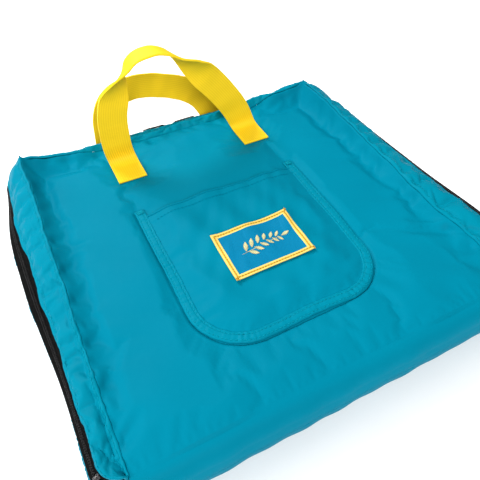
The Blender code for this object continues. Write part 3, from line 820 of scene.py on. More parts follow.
def back_cover(material):
    """Lower cover: lies on the floor, bent in over the back handle's feet, up to the fold's middle."""
    x = np.linspace(-1, 1, 181) * HALF
    y = np.linspace(FAR - 0.2 * MM, FOLD_START, 181)
    gx, gy = np.meshgrid(x, y)
    flat = SHELL / 2 + 0.1 * MM
    foot = np.minimum(ease(np.abs(np.abs(gx) - FOOT_X), 16.5 * MM, 13.2 * MM),
                      ease(gy, FOOT_NEAR - 4 * MM, FOOT_NEAR - 1 * MM))
    edge = np.minimum.reduce([gx + HALF, HALF - gx, FAR - gy])
    lift = 0.5 * MM * (1 + waves(gx, gy, 0.07, 0.08, 91, 20) * 0.45) * ease(edge, 0.0, 0.02)
    lift = np.clip(lift, 0.0, 1.2 * MM) * ease(gy, FOLD_START, FOLD_START + 18 * MM)
    gz = flat + np.maximum(foot * 2.4 * MM, lift)
    rows = [np.stack([gx, gy, gz], axis=2)] + fold_rows(x, flat, 1, 0.0)
    points = np.concatenate(rows)[:, ::-1]
    piece = cloth("back_cover", points, SHELL, material)
    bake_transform(piece)
    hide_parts("back_panel", "spine_panel")
    return piece


# ---- gussets --------------------------------------------------------------------------------------
def tuck(y):
    """Share of its width that a side wall keeps near the fold, where it closes in a round end."""
    return np.sqrt(np.clip(1 - (np.clip(FOLD_START + 14 * MM - y, 0, None) / (13.5 * MM)) ** 2, 0.0, 1.0))


def spread_profile(points):
    """A smooth section through (out, height) pairs in millimetres, evenly spaced."""
    return resampled(catmull(np.array(points, float) * MM, 24), 35)


WIDTHS = {
    "left": through([(-130, 0.56), (-40, 0.62), (100, 0.80), (150, 0.72)]),
    "far": through([(-150, 0.72), (-95, 0.97), (60, 1.0), (150, 0.97)]),
    "right": through([(-130, 1.28), (-60, 1.14), (-10, 0.94), (80, 0.82), (150, 0.96)]),
}
ZIP_WIDTHS = {
    "left": through([(-60, 0.8), (20, 1.3), (80, 1.2), (150, 0.4)]),
    "right": through([(-60, 1.45), (80, 1.25), (150, 1.0)]),
}


def off_floor(z):
    """0 at the floor, 1 well above it."""
    return np.clip((z - 3 * MM) / (30 * MM), 0, 1)


def ring(side, share, out, z, near):
    """Points of the walls: share runs 0 to 1 up a side to the corner's middle, or -1 to 1 far.

    The slack walls stand out more or less than their drawing along their length, and the right one
    lies flatter, so that its zip shows from above.
    """
    share = np.asarray(share, float)
    beyond = np.maximum(out - ZIP_EDGE[0], 0.0)
    above = out - beyond
    clear = np.clip(out / (20 * MM), 0, 1)
    if side == "far":
        flat = np.clip(share / FAR_TURN, -1, 1) * HALF
        angle = np.radians(90 - 45 * np.clip((np.abs(share) - FAR_TURN) / FAR_CORNER, 0, 1))
        reach = above * WIDTHS["far"](flat) / MM + beyond
        x = flat + np.sign(share) * reach * np.cos(angle)
        y = FAR + reach * (FAR_BULGE - 1) + reach * np.sin(angle)
        z = z - FAR_DROP * clear * off_floor(z)
        return np.stack([x, y, z + 0 * x], axis=-1)
    sign = -1 if side == "left" else 1
    straight = np.clip(share / SIDE_TURN, 0, 1)
    angle = np.radians(45 * np.clip((share - SIDE_TURN) / SIDE_CORNER, 0, 1))
    seam_y = near + (FAR - near) * straight
    reach = above * WIDTHS[side](seam_y) / MM + beyond * ZIP_WIDTHS[side](seam_y) / MM
    x = sign * (HALF + reach * np.cos(angle) * tuck(seam_y))
    if side == "right":
        x = x + stray(seam_y) * np.clip(1 - out / (20 * MM), 0, 1)
    y = near + (FAR + reach * (FAR_BULGE - 1) - near) * straight + reach * np.sin(angle)
    z = z - FAR_DROP * ease(share, 0.70, SIDE_TURN) * clear * off_floor(z)
    if side == "right":
        lift = (5.5 * MM * clear
                + (3.6 - 2.0 * ease(seam_y, -0.080, 0.110)) * MM * np.clip(beyond / (8.4 * MM), 0, 1))
        lift = lift * (1 - ease(seam_y, 0.085, 0.145))
        lift = lift * ease(seam_y, FOLD_START + 5 * MM, FOLD_START + 65 * MM)
        z = z + lift * off_floor(z)
    return np.stack([x, y, z + 0 * x], axis=-1)


def gusset(name, side, section, seed, material, body, wrinkle):
    """A side strip swept along one side. section(at) gives its (out, height) pairs at that place."""
    if side == "far":
        shares = np.linspace(-1, 1, 321)
        at = np.clip(shares / FAR_TURN, -1, 1) * HALF
    else:
        shares = np.concatenate([np.linspace(0, 0.06, 24, endpoint=False), np.linspace(0.06, 1, 251)])
        at = WALL_END + (FAR - WALL_END) * np.clip(shares / SIDE_TURN, 0, 1)
    profile = np.array([section(place) for place in at])
    out, z = profile[..., 0], profile[..., 1]
    points = ring(side, shares[:, None], out, z, WALL_END)
    held = np.zeros(points.shape[:2])
    held[:, :3] = held[:, -3:] = held[:3] = held[-3:] = 1.0
    outward = -1 if side == "left" else 1
    points = relax(points, held, 0.045 * wrinkle, -1.5 * outward)
    run = lengths(points.transpose(1, 0, 2), 1)[:, None]
    down = np.cumsum(np.concatenate([np.zeros((len(shares), 1)),
                                     np.hypot(np.diff(out, axis=1), np.diff(z, axis=1))], axis=1), axis=1)
    width = down[:, -1:]
    inner = np.sin(math.pi * np.clip(down / width, 0, 1)) ** 0.6
    cross = waves(run + 0.45 * down, down, 0.032, 0.150, seed, 26)
    crease = 0.35 - np.abs(waves(run - 0.3 * down, down, 0.060, 0.110, seed + 3, 14))
    broad = waves(run, down, 0.085, 0.070, seed + 1, 16)
    fine = waves(run + 0.2 * down, down, 0.008, 0.05, seed + 2, 18)
    seam_fade = np.exp(-down / (5 * MM)) + np.exp(-(width - down) / (4 * MM))
    tail = run[-1] - run
    ends = ease(np.minimum(run, tail) if side == "far" else tail, 0.0, 0.014)
    bump = wrinkle * (inner * (0.35 * MM * cross + 0.35 * MM * broad + 0.80 * MM * crease)
                      + 0.16 * MM * fine * seam_fade) * ends
    points = points + grid_normals(points) * bump[..., None] * outward
    piece = cloth(name, points[:, ::-1] if side == "left" else points, 1.0 * MM, material)
    belongs(piece, body, "gusset_nylon", name)
    return points


def upper_section(side):
    """The upper strip's section: a rounded crest, a dip, a soft belly, and an edge over the zip."""
    edge_out, edge_z = ZIP_EDGE[0] / MM + 1.0, ZIP_EDGE[1] / MM + 0.5

    def section(at):
        place = np.array([at])
        if side == "far":
            seam = float(seam_height(place)[0]) / MM
            crest = max(float(CREST_FAR(at)) / MM, seam + 0.8)
            fade = 1 - float(ease(abs(at), HALF - 0.02, HALF))
            wave = fade * (0.4 * math.sin(at / (13 * MM)) + 0.2 * math.sin(at / (5.1 * MM) + 1))
            push = 3.0 * fade
            return spread_profile([(0.35, seam - 0.3), (1.2 + push * 0.55, seam * 0.4 + crest * 0.6),
                                   (2.2 + push, crest), (4.6 + push, crest - 1.6),
                                   (15, (crest + edge_z) / 2 + 0.2), (edge_out - 3, edge_z + 1.4),
                                   (edge_out + wave, edge_z - 0.2)])
        crest = float(ridge_height(side, place)[0]) / MM
        wander = float(side_wobble(place, side)[0]) / MM
        wander = -wander if side == "left" else wander
        fade = float(ease(at, FOLD_START + 10 * MM, FOLD_START + 26 * MM)) * float(calm_far(at))
        size = 0.7 if side == "left" else 0.2
        wave = size * fade * (math.sin(at / (12 * MM) + 1) + 0.5 * math.sin(at / (4.7 * MM)))
        return spread_profile([(-0.2 + wander, crest - 0.3), (0.9 + wander, crest + 0.5),
                               (2.2 + wander, crest - 0.5), (5.5, crest - 3.4),
                               (13, (crest + edge_z) / 2 + 0.4), (edge_out - 3, edge_z + 1.4),
                               (edge_out + wave, edge_z - 0.2)])
    return section


def lower_section(at):
    """The lower strip's section: from under the zip, out, down and in under the case."""
    return spread_profile([(31.0, 34.4), (31.8, 32.0), (31.9, 25.0), (28.5, 13.5), (20.0, 5.6),
                           (10.0, 2.6), (0.6, 1.6)])


def gussets(material, thread):
    """The six side strips, with stitches along their seams."""
    for number, side in enumerate(("left", "far", "right")):
        for name, section, seed, body, wrinkle in (
                ("front_gusset_" + side, upper_section(side), 100 + 10 * number, "front_half", 1.0),
                ("back_gusset_" + side, lower_section, 200 + 10 * number, "back_half", 0.8)):
            points = gusset(name, side, section, seed, material, body, wrinkle)
            normal = grid_normals(points) * (-1 if side == "left" else 1)
            rows = (4, 30) if body == "front_half" else (3,)
            lines = [points[6:-4, row] + normal[6:-4, row] * 0.5 * MM for row in rows]
            ups = [normal[6:-4, row] for row in rows]
            seam = stitches(name + "_stitches", lines, ups, STITCH, thread, 0.24 * MM)
            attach(seam, body)


# ---- zip ------------------------------------------------------------------------------------------
def zip_place(slant):
    """(out, height) at a distance down the zip's slope from its upper edge."""
    return (ZIP_EDGE[0] + slant * math.cos(ZIP_SLOPE), ZIP_EDGE[1] - slant * math.sin(ZIP_SLOPE))


def zip_line(out, z, near, step=1.2 * MM):
    """The zip's line round three sides."""
    side = np.concatenate([np.linspace(0, SIDE_TURN, 90, endpoint=False), np.linspace(SIDE_TURN, 1, 14)])
    left = ring("left", side, out, z, near)
    far = ring("far", np.concatenate([np.linspace(-1, -FAR_TURN, 14), np.linspace(-0.78, 0.78, 80),
                                      np.linspace(FAR_TURN, 1, 14)])[1:-1], out, z, near)
    right = ring("right", side[::-1], out, z, near)
    line = np.concatenate([left, far, right])
    return resampled(line, int(travelled(line)[-1] / step))


def tape(name, slant, material, body):
    """One zip tape, a little bowed across its width."""
    rows = []
    for share in np.linspace(0, 1, 9):
        out, z = zip_place(slant + TAPE_WIDTH * share)
        line = resampled(zip_line(out, z, WALL_END + 1 * MM), 740)
        line[:, 2] += 0.15 * MM * math.sin(math.pi * share)
        rows.append(line)
    piece = cloth(name, np.array(rows)[:, ::-1], 0.7 * MM, material)
    belongs(piece, body, "zip_tape", name)


def coil(name, slant, side, material, body):
    """A row of coil teeth: small round loops laid across the zip's line."""
    out, z = zip_place(slant)
    pitch = 1.5 * MM
    line = zip_line(out, z, ZIP_NEAR, pitch)
    ahead = np.gradient(line, axis=0)
    ahead /= np.linalg.norm(ahead, axis=1, keepdims=True)
    outward = np.stack([-ahead[:, 1], ahead[:, 0], 0 * ahead[:, 0]], axis=1)
    outward /= np.linalg.norm(outward, axis=1, keepdims=True)
    down = outward * math.cos(ZIP_SLOPE) - UP * math.sin(ZIP_SLOPE)
    face = outward * math.sin(ZIP_SLOPE) + UP * math.cos(ZIP_SLOPE)
    vertices, faces = [], []
    sides = 8
    levels = ((-0.42, 0.55), (-0.26, 1.0), (0.26, 1.0), (0.42, 0.55))
    angles = np.linspace(0, 2 * math.pi, sides, endpoint=False)
    for station in range(len(line)):
        base = len(vertices)
        shift = ahead[station] * pitch * (0.25 if side > 0 else -0.25)
        for level, size in levels:
            for angle in angles:
                place = (line[station] + shift + ahead[station] * level * pitch * 0.95
                         + down[station] * math.cos(angle) * 0.72 * MM * size
                         + face[station] * math.sin(angle) * 1.08 * MM * size)
                vertices.append(place)
        faces += tube_faces(base, len(levels), sides, mirrored=True)
    piece = link(name, np.array(vertices), faces, material)
    belongs(piece, body, "zip_coil", name)


def plate(outline, thickness, bevel, origin, along_axis, across_axis, face_axis):
    """Vertices and faces of a flat plate with bevelled rims, from its outline in its own plane."""
    outline = np.array(outline, float)
    middle = outline.mean(axis=0)
    inset = middle + (outline - middle) * (1 - bevel / np.linalg.norm(outline - middle, axis=1))[:, None]
    levels = ((inset, -thickness / 2), (outline, -thickness / 2 + bevel),
              (outline, thickness / 2 - bevel), (inset, thickness / 2))
    vertices = [origin + along_axis * u + across_axis * v + face_axis * height
                for loop, height in levels for u, v in loop]
    count = len(outline)
    faces = [tuple(reversed(range(count))), tuple(3 * count + i for i in range(count))]
    for level in range(3):
        for i in range(count):
            a, b = level * count + i, level * count + (i + 1) % count
            faces.append((a, b, b + count, a + count))
    return vertices, faces


def rounded(wide, tall, radius):
    """Outline of a rounded rectangle about its middle."""
    points = []
    steps = 5
    for cx, cy, start in ((1, 1, 0), (-1, 1, 90), (-1, -1, 180), (1, -1, 270)):
        for step in range(steps + 1):
            angle = math.radians(start + 90 * step / steps)
            points.append((cx * (wide / 2 - radius) + radius * math.cos(angle),
                           cy * (tall / 2 - radius) + radius * math.sin(angle)))
    return points


def gather(name, pieces, material):
    """One object from several (vertices, faces) pairs."""
    vertices, faces = [], []
    for some, rims in pieces:
        base = len(vertices)
        vertices += [tuple(v) for v in some]
        faces += [tuple(base + i for i in rim) for rim in rims]
    return link(name, vertices, faces, material)


def far_zip_point(x):
    """The zip's middle line behind the seat, at x."""
    out, z = zip_place(ZIP_MIDDLE)
    return ring("far", np.array([FAR_TURN * x / HALF]), out, z, ZIP_NEAR)[0]


def stop(side, material):
    """A folded metal clip over the end of the zip, next to the fold."""
    sign = -1 if side == "left" else 1
    out, z = zip_place(ZIP_MIDDLE)
    place = ring(side, np.array([0.0]), out, z, ZIP_NEAR - 2.5 * MM)[0]
    run = np.array([0.0, 1.0, 0.0])
    face = np.array([sign * math.sin(ZIP_SLOPE), 0.0, math.cos(ZIP_SLOPE)])
    across = np.cross(face, run)
    clip = plate(rounded(3.2 * MM, 6.4 * MM, 1.0 * MM), 2.6 * MM, 0.5 * MM, place, run, across, face)
    ridge = plate(rounded(1.2 * MM, 4.6 * MM, 0.5 * MM), 0.6 * MM, 0.2 * MM, place + face * 1.4 * MM,
                  run, across, face)
    piece = gather("stop_" + side, [clip, ridge], material)
    belongs(piece, "back_half", "zip_metal", "zip_stop_" + side)


def slider(side, material):
    """A zip slider with its bridge, and its pull tab lying along the zip."""
    sign = -1 if side == "left" else 1
    low_corner, high_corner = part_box("zip_slider_" + side)
    run = np.array([float(sign), 0.0, 0.0])
    face = np.array([0.0, math.sin(ZIP_SLOPE), math.cos(ZIP_SLOPE)])
    across = np.cross(face, run)
    on_zip = far_zip_point((low_corner.x + high_corner.x) / 2)
    middle = on_zip + face * 2.1 * MM
    body = plate(rounded(9.0 * MM, 6.6 * MM, 2.0 * MM), 1.5 * MM, 0.35 * MM, middle, run, across, face)
    ridge = plate(rounded(5.6 * MM, 1.6 * MM, 0.7 * MM), 1.3 * MM, 0.3 * MM, middle + face * 1.0 * MM,
                  run, across, face)
    piece = gather("slider_" + side, [body, ridge], material)
    belongs(piece, "zip_slider_" + side, "zip_metal", "zip_slider_" + side)
    tab_low, tab_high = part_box("zip_pull_" + side)
    length = tab_high.x - tab_low.x - 2.4 * MM
    centre = far_zip_point((tab_low.x + tab_high.x) / 2) + face * 3.9 * MM - run * 1.2 * MM
    tab = plate(rounded(length, 4.2 * MM, 1.9 * MM), 1.1 * MM, 0.3 * MM, centre, run, across, face)
    grip = plate(rounded(length * 0.45, 2.4 * MM, 1.1 * MM), 1.7 * MM, 0.4 * MM,
                 centre + run * length * 0.18, run, across, face)
    pull = gather("pull_" + side, [tab, grip], material)
    belongs(pull, "zip_pull_" + side, "zip_metal", "zip_pull_" + side)


# ---- handles --------------------------------------------------------------------------------------
FRONT_ARCH = [(-61, 0), (-63.5, 22), (-60, 55), (-43, 87), (-22, 95), (0, 85), (28, 56), (50, 25), (61, 0)]
BACK_ARCH = [(-61, 0), (-61, 78), (-51, 114), (-18, 122), (30, 105.5), (51, 78), (61, 40), (61, 0)]
STRAP = 25.0 * MM


def strap(name, arch, place, foot_z, material, most_twist):
    """One webbing strap from one sewn foot, up and over the arch, to the other."""
    route = catmull(arch, 14) * MM
    top = route[:, 1].max()
    centres, widths = [], []
    foot_run = LEAVE_Y - FOOT_NEAR
    for share in np.linspace(0, 1, 12, endpoint=False):
        centres.append(Vector((route[0][0], FOOT_NEAR + (foot_run - 4 * MM) * share, foot_z)))
        widths.append(Vector((1, 0, 0)))
    sideways = Vector((1, 0, 0))
    for index, point in enumerate(route):
        before, after = route[max(index - 1, 0)], route[min(index + 1, len(route) - 1)]
        tangent = (after - before) / np.linalg.norm(after - before)
        climb = max(point[1], 0.0)
        if point[1] < 3.5 * MM or index in (0, len(route) - 1):
            continue
        up = (place(climb + 0.5 * MM) - place(climb)).normalized()
        outward = Vector((0.0, up.z, -up.y))
        turn = 1 if index < len(route) / 2 else -1
        square = (sideways * tangent[1] - up * tangent[0]) * turn
        free = min(climb / (22 * MM), 1.0)
        across = (sideways * (1 - free) + square * free).normalized()
        share = min(max((climb / top - 0.62) / 0.30, 0.0), 1.0)
        twist = math.radians(most_twist) * share
        width = across * math.cos(twist) + outward * math.sin(twist) * turn
        centres.append(place(climb) + sideways * point[0])
        widths.append(width * turn)
    for share in np.linspace(1, 0, 12):
        centres.append(Vector((route[-1][0], FOOT_NEAR + (foot_run - 4 * MM) * share, foot_z)))
        widths.append(Vector((-1, 0, 0)))
    centres = np.array([tuple(c) for c in centres])
    widths = np.array([tuple(w) for w in widths])
    gone = travelled(centres)
    at = np.linspace(0, gone[-1], int(gone[-1] / (1.5 * MM)))
    centres = sample(at, gone, centres)
    widths = sample(at, gone, widths)
    kernel = np.exp(-0.5 * (np.arange(-4, 5) / 1.8) ** 2)
    kernel /= kernel.sum()
    for values in (centres, widths):
        for i in range(3):
            smooth = np.convolve(np.pad(values[:, i], 4, mode="edge"), kernel, mode="valid")
            values[4:-4, i] = smooth[4:-4]
    widths /= np.linalg.norm(widths, axis=1, keepdims=True)
    shares = np.linspace(-0.5, 0.5, 53)
    points = centres[:, None, :] + widths[:, None, :] * shares[None, :, None] * STRAP
    normal = grid_normals(points)
    rib = -0.24 * MM * np.abs(np.cos(2 * math.pi * 13 * (shares + 0.5))) * (np.abs(shares) < 0.49)
    crease = 0.25 * MM * waves(at[:, None], shares[None, :] * STRAP, 0.022, 0.05, 301, 18)
    free = ease(at, 0.030, 0.050) * (1 - ease(at, gone[-1] - 0.050, gone[-1] - 0.030))
    points = points + normal * (crease * free[:, None])[..., None]
    piece = cloth(name, points, 1.35 * MM, material)
    mesh = piece.data
    count = len(at) * len(shares)
    coords = np.empty(len(mesh.vertices) * 3)
    mesh.vertices.foreach_get("co", coords)
    coords = coords.reshape(-1, 3)
    raised = normal.reshape(-1, 3) * (0.20 * MM + np.tile(rib, len(at)))[:, None]
    coords[:count] += raised
    coords[count:] -= raised
    mesh.vertices.foreach_set("co", coords.ravel())
    mesh.update()
    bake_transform(piece)
    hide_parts(name + "_foot_left", name + "_foot_right", name + "_loop")


def front_strap_place(climb):
    """Straight up from the front feet."""
    return Vector((0.0, LEAVE_Y, FRONT_STRAP_Z + climb))


def back_strap_place(climb):
    """Along the floor, round the far edge and up."""
    turn = math.radians(80)
    radius, run = 9.0 * MM, 40.0 * MM
    z = BACK_STRAP_Z
    if climb <= run:
        return Vector((0.0, LEAVE_Y + climb, z))
    angle = min((climb - run) / radius, turn)
    y = LEAVE_Y + run + radius * math.sin(angle)
    z += radius * (1 - math.cos(angle))
    rest = max(climb - run - radius * turn, 0.0)
    return Vector((0.0, y + rest * math.cos(turn), z + rest * math.sin(turn)))


# ---- pads and linings -----------------------------------------------------------------------------
SKIRT = 12.0 * MM
SKIRT_INSET = 1.5 * MM


def slab(name, gx, gy, top, bottom, material):
    """A closed solid between two height fields over one grid, with its rim stitched shut."""
    rows, columns = gx.shape
    upper = np.stack([gx, gy, top], axis=2).reshape(-1, 3)
    lower = np.stack([gx, gy, bottom], axis=2).reshape(-1, 3)
    return link(name, np.concatenate([upper, lower]), sheet_faces(rows, columns, mirrored=True), material)


def quilt(x, y):
    """Depth of the lining's sewn channels: a diamond quilt, one at the lines and 0 between."""
    pitch = 62.0 * MM
    first = np.abs(np.sin(math.pi * (x + y) / pitch))
    second = np.abs(np.sin(math.pi * (x - y) / pitch))
    return 1 - (np.minimum(first, second)) ** 0.55


def skirt(sheet, sign):
    """The sheet with its far edge and both sides drawn over a pad's rim and down its side."""
    steps = 9
    turn = np.linspace(0, 1, steps + 1)[1:]
    out = 1.3 * MM * np.minimum(turn * 3, 1.0)
    depth = SKIRT * turn ** 1.3
    far_rows = np.repeat(sheet[:1], steps, axis=0)[::-1].copy()
    far_rows[:, :, 1] += out[::-1, None] - SKIRT_INSET
    far_rows[:, :, 2] += sign * depth[::-1, None]
    tall = np.concatenate([far_rows, sheet])
    tall[steps, :, 1] -= SKIRT_INSET
    left = np.repeat(tall[:, :1], steps, axis=1)[:, ::-1].copy()
    right = np.repeat(tall[:, -1:], steps, axis=1).copy()
    left[:, :, 0] -= out[::-1] - SKIRT_INSET
    left[:, :, 2] += sign * depth[::-1]
    right[:, :, 0] += out - SKIRT_INSET
    right[:, :, 2] += sign * depth
    whole = np.concatenate([left, tall, right], axis=1)
    whole[:, steps, 0] += SKIRT_INSET
    whole[:, -steps - 1, 0] -= SKIRT_INSET
    return whole


def pads(material):
    """Both foam pads, hollowed along the quilting of their linings."""
    foam_low, foam_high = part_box("front_foam")
    skirt_room = 1.8 * MM
    across = np.linspace(foam_low.x + skirt_room, foam_high.x - skirt_room, 150)
    deep = np.linspace(foam_low.y, foam_high.y - skirt_room, 150)
    gx, gy = np.meshgrid(across, deep)
    edge = np.minimum.reduce([gx - across[0], across[-1] - gx, gy - deep[0], deep[-1] - gy])
    rounding = 3.5 * MM * (1 - np.sqrt(np.clip(1 - (1 - np.clip(edge / (5 * MM), 0, 1)) ** 2, 0, 1)))
    depth = QUILT_DEPTH * quilt(gx, gy) * ease(edge, 0.0, 0.012)
    cover_under = TOP - SHELL - 0.3 * MM + np.minimum(panel_shape(gx, gy), 0.8 * MM)
    front_low = high("front_lining").z + 0.2 * MM
    back_high = low("back_lining").z - 0.2 * MM
    back_floor = low("back_foam").z
    front = slab("front_pad", gx, gy, cover_under - rounding, front_low + depth + rounding * 0.5, material)
    back = slab("back_pad", gx, gy, back_high - depth - rounding * 0.5, back_floor + rounding, material)
    belongs(front, "front_half", "foam", "front_foam")
    belongs(back, "back_half", "foam", "back_foam")
    return front, back


FLANGE = [(8.5, 0.0), (5.0, 0.4), (2.4, 2.4), (1.6, 7.0), (-0.2, 10.5), (-5.0, 11.6), (-8.2, 11.2)]


def pad_lining(name, pad, sign, body, material):
    """A quilted lining over a pad's inner face, with a flange that turns in at the fold."""
    low_corner, high_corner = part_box(name)
    level = (low_corner.z + high_corner.z) / 2
    x = np.linspace(low_corner.x, high_corner.x, 200)
    y = np.linspace(high_corner.y, FOLD_START + 9 * MM, 190)
    gx, gy = np.meshgrid(x, y)
    edge = np.minimum.reduce([gx - x[0], x[-1] - gx, high_corner.y - gy])
    sink = QUILT_DEPTH * quilt(gx, gy) * ease(edge, 0.0, 0.012)
    sink = sink * ease(gy, FOLD_START + 8 * MM, FOLD_START + 20 * MM)
    puff = 0.12 * MM * waves(gx, gy, 0.012, 0.012, 401, 20) * ease(edge, 0.0, 0.01)
    rows = [skirt(np.stack([gx, gy, level + sign * (sink + np.abs(puff))], axis=2), sign)]
    flange = catmull(FLANGE, 5) * MM
    edge_x, edge_drop = rows[0][-1, :, 0], np.abs(rows[0][-1, :, 2] - level)
    for number, (ahead, drop) in enumerate(flange):
        left_over = edge_drop * (1 - (number + 1) / len(flange))
        rows.append(np.stack([edge_x, np.full_like(edge_x, FOLD_START + ahead),
                              level + sign * np.maximum(left_over, drop)], axis=1)[None])
    points = np.concatenate(rows)
    piece = cloth(name, points[:, ::-1] if sign > 0 else points, 0.8 * MM, material)
    belongs(piece, body, "lining", name)
    return piece


def spine_lining(material, neighbours):
    """The strip of lining behind the fold."""
    low_corner, high_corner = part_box("spine_lining")
    x = np.linspace(low_corner.x, high_corner.x, 120)
    z = np.linspace(JOINTS["fold_low"][2] + 0.4 * MM, JOINTS["fold_high"][2] - 0.4 * MM, 24)
    gx, gz = np.meshgrid(x, z)
    gy = (low_corner.y + high_corner.y) / 2 + 0.3 * MM * waves(gx, gz, 0.03, 0.02, 410, 14)
    piece = cloth("spine_lining", np.stack([gx, gy, gz], axis=2)[:, ::-1], 0.8 * MM, material)
    belongs(piece, "spine", "lining", "spine_lining")


# ---- pocket and label -----------------------------------------------------------------------------
def cover_top(x, y):
    """Height of the front cover's outer face."""
    return TOP + panel_shape(np.asarray(x, float), np.asarray(y, float))


def u_half(y, half, corner, bottom):
    """Half the width of a U shape at y."""
    centre = bottom + corner
    drop = np.clip(centre - y, 0, corner)
    return half - corner + np.sqrt(np.clip(corner ** 2 - drop ** 2, 0, None))


def pocket_top(x, y):
    """Upper face of the pocket cloth: a little slack at the mouth, drawn flat at its seam."""
    half = u_half(y, POCKET_HALF - BAND, CORNER - BAND, POCKET_BOTTOM + BAND)
    sideways = np.clip(1 - np.abs(x) / half, 0, 1)
    inside = ease(sideways, 0.0, 0.45)
    deep = np.clip((POCKET_MOUTH - y) / (POCKET_MOUTH - POCKET_BOTTOM - BAND), 0, 1)
    slack = inside * (1 - deep ** 2.2)
    folds = 0.55 * MM * waves(x + 0.25 * y, y, 0.034, 0.120, 501, 20)
    creases = 0.30 * MM * waves(x - 0.5 * y, y, 0.016, 0.07, 502, 20)
    calm = ease(sideways, 0.0, 0.2) * ease(deep, 1.0, 0.82)
    mouth = np.exp(-(POCKET_MOUTH - y) / (9 * MM)) * 0.3 * MM * ripples(x, 0.055, 503, 8)
    return (cover_top(x, y) + 1.15 * MM + 2.3 * MM * slack
            + (folds + creases) * calm * (0.5 + 0.5 * inside) + mouth * inside)


def on_front(piece, slot, node):
    """The piece moves with the upper half."""
    belongs(piece, "front_half", slot, node)


def pocket_panel(material):
    """The patch: cut like the pocket inside its binding, bowed and hemmed at the mouth."""
    half, corner = POCKET_HALF - POCKET_INSET, CORNER - POCKET_INSET
    bottom = POCKET_BOTTOM + POCKET_INSET
    turn = bottom + corner
    levels = np.concatenate([np.linspace(POCKET_MOUTH, POCKET_MOUTH - 5 * MM, 26, endpoint=False),
                             np.linspace(POCKET_MOUTH - 5 * MM, turn, 84, endpoint=False),
                             bottom + corner * (1 - np.sin(np.linspace(0, math.pi / 2, 44)))])
    shares = np.linspace(-1, 1, 140)
    gy = levels[:, None] * np.ones_like(shares)
    gx = u_half(gy, half, corner, bottom) * shares
    from_mouth = POCKET_MOUTH - gy
    hem = ease(from_mouth, 9.6 * MM, 8.8 * MM) * 0.30 * MM
    roll = (0.35 * MM * bell(from_mouth - 0.4 * MM, 0.5 * MM)
            - 1.1 * MM * bell(from_mouth - 1.4 * MM, 0.40 * MM))
    sag = 0.5 * MM * ripples(shares * half, 0.060, 504, 6) * (1 - shares ** 2)
    gy = gy - np.exp(-from_mouth / (14 * MM)) * (MOUTH_BOW * (1 - shares ** 2) + 0.5 * sag)
    gz = pocket_top(gx, np.minimum(gy, POCKET_MOUTH)) - 0.45 * MM + hem + roll
    piece = cloth("pocket_panel", np.stack([gx, gy, gz], axis=2), 0.8 * MM, material, plan=True)
    on_front(piece, "shell_nylon", "pocket_panel")
    return piece


def binding_plan():
    """Places of the binding on the panel: rows from its outer to its inner edge, round the U."""
    centre = POCKET_BOTTOM + CORNER
    rows = []
    for inward in BAND * BAND_SHARES:
        radius = CORNER - inward
        side = [(-(POCKET_HALF - inward), y) for y in np.linspace(BIND_HIGH.y, centre, 110)]
        side += [(-(POCKET_HALF - CORNER) - radius * math.cos(turn), centre - radius * math.sin(turn))
                 for turn in np.linspace(0, math.pi / 2, 60)[1:]]
        side += [(x, POCKET_BOTTOM + inward) for x in np.linspace(-(POCKET_HALF - CORNER), 0, 24)[1:]]
        rows.append(side + [(-x, y) for x, y in reversed(side[:-1])])
    return np.array(rows)


def pocket_binding(panel, material, thread):
    """The folded band round the pocket, with two rows of stitches and a bar tack at each end."""
    ridge = np.clip(np.sin(math.pi * BAND_SHARES), 0, 1) ** 0.25 * 1.05 * MM
    for groove in (0.20, 0.74):
        ridge = ridge - 0.34 * MM * bell(BAND_SHARES - groove, 0.07)
    plan = binding_plan()
    run = travelled(plan[12])
    wander = 0.20 * MM * ripples(run, 0.06, 511, 8) + 0.07 * MM * ripples(run, 0.011, 512, 8)
    ahead = np.gradient(plan, axis=1)
    ahead = ahead / np.linalg.norm(ahead, axis=2, keepdims=True)
    plan = plan + np.stack([ahead[..., 1], -ahead[..., 0]], axis=2) * wander[None, :, None]
    pinch = 1 + 0.16 * ripples(run, 0.0034, 513, 8)
    lift = cover_top(plan[..., 0], plan[..., 1]) + 0.55 * MM + ridge[:, None] * pinch[None, :]
    points = np.concatenate([plan, lift[..., None]], axis=2)
    piece = cloth("pocket_binding", points, 0.7 * MM, material)
    on_front(piece, "gusset_nylon", "pocket_binding")

    lines = [points[row] + UP * 0.30 * MM for row in (5, 18)]
    for end in (0, -1):
        tack = [points[3 if step % 2 else 21, end] + np.array([0, -1.2 * MM - 0.25 * MM * step, 0.55 * MM])
                for step in range(14)]
        lines.append(np.array(tack))
    seam = stitches("pocket_stitches", lines, [UP] * len(lines), STITCH, thread)
    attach(seam, "front_half")


def pocket_hem(thread):
    """Stitches along the hem of the pocket's mouth, which follow its bow."""
    half = POCKET_HALF - POCKET_INSET
    x = np.linspace(-half + 6 * MM, half - 6 * MM, 160)
    y = POCKET_MOUTH - 8.6 * MM - 2.3 * MM * (1 - (x / half) ** 2)
    line = np.stack([x, y, pocket_top(x, y) + 0.20 * MM], axis=1)
    seam = stitches("pocket_hem_stitches", [line], [UP], 3.0 * MM, thread, 0.22 * MM)
    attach(seam, "front_half")


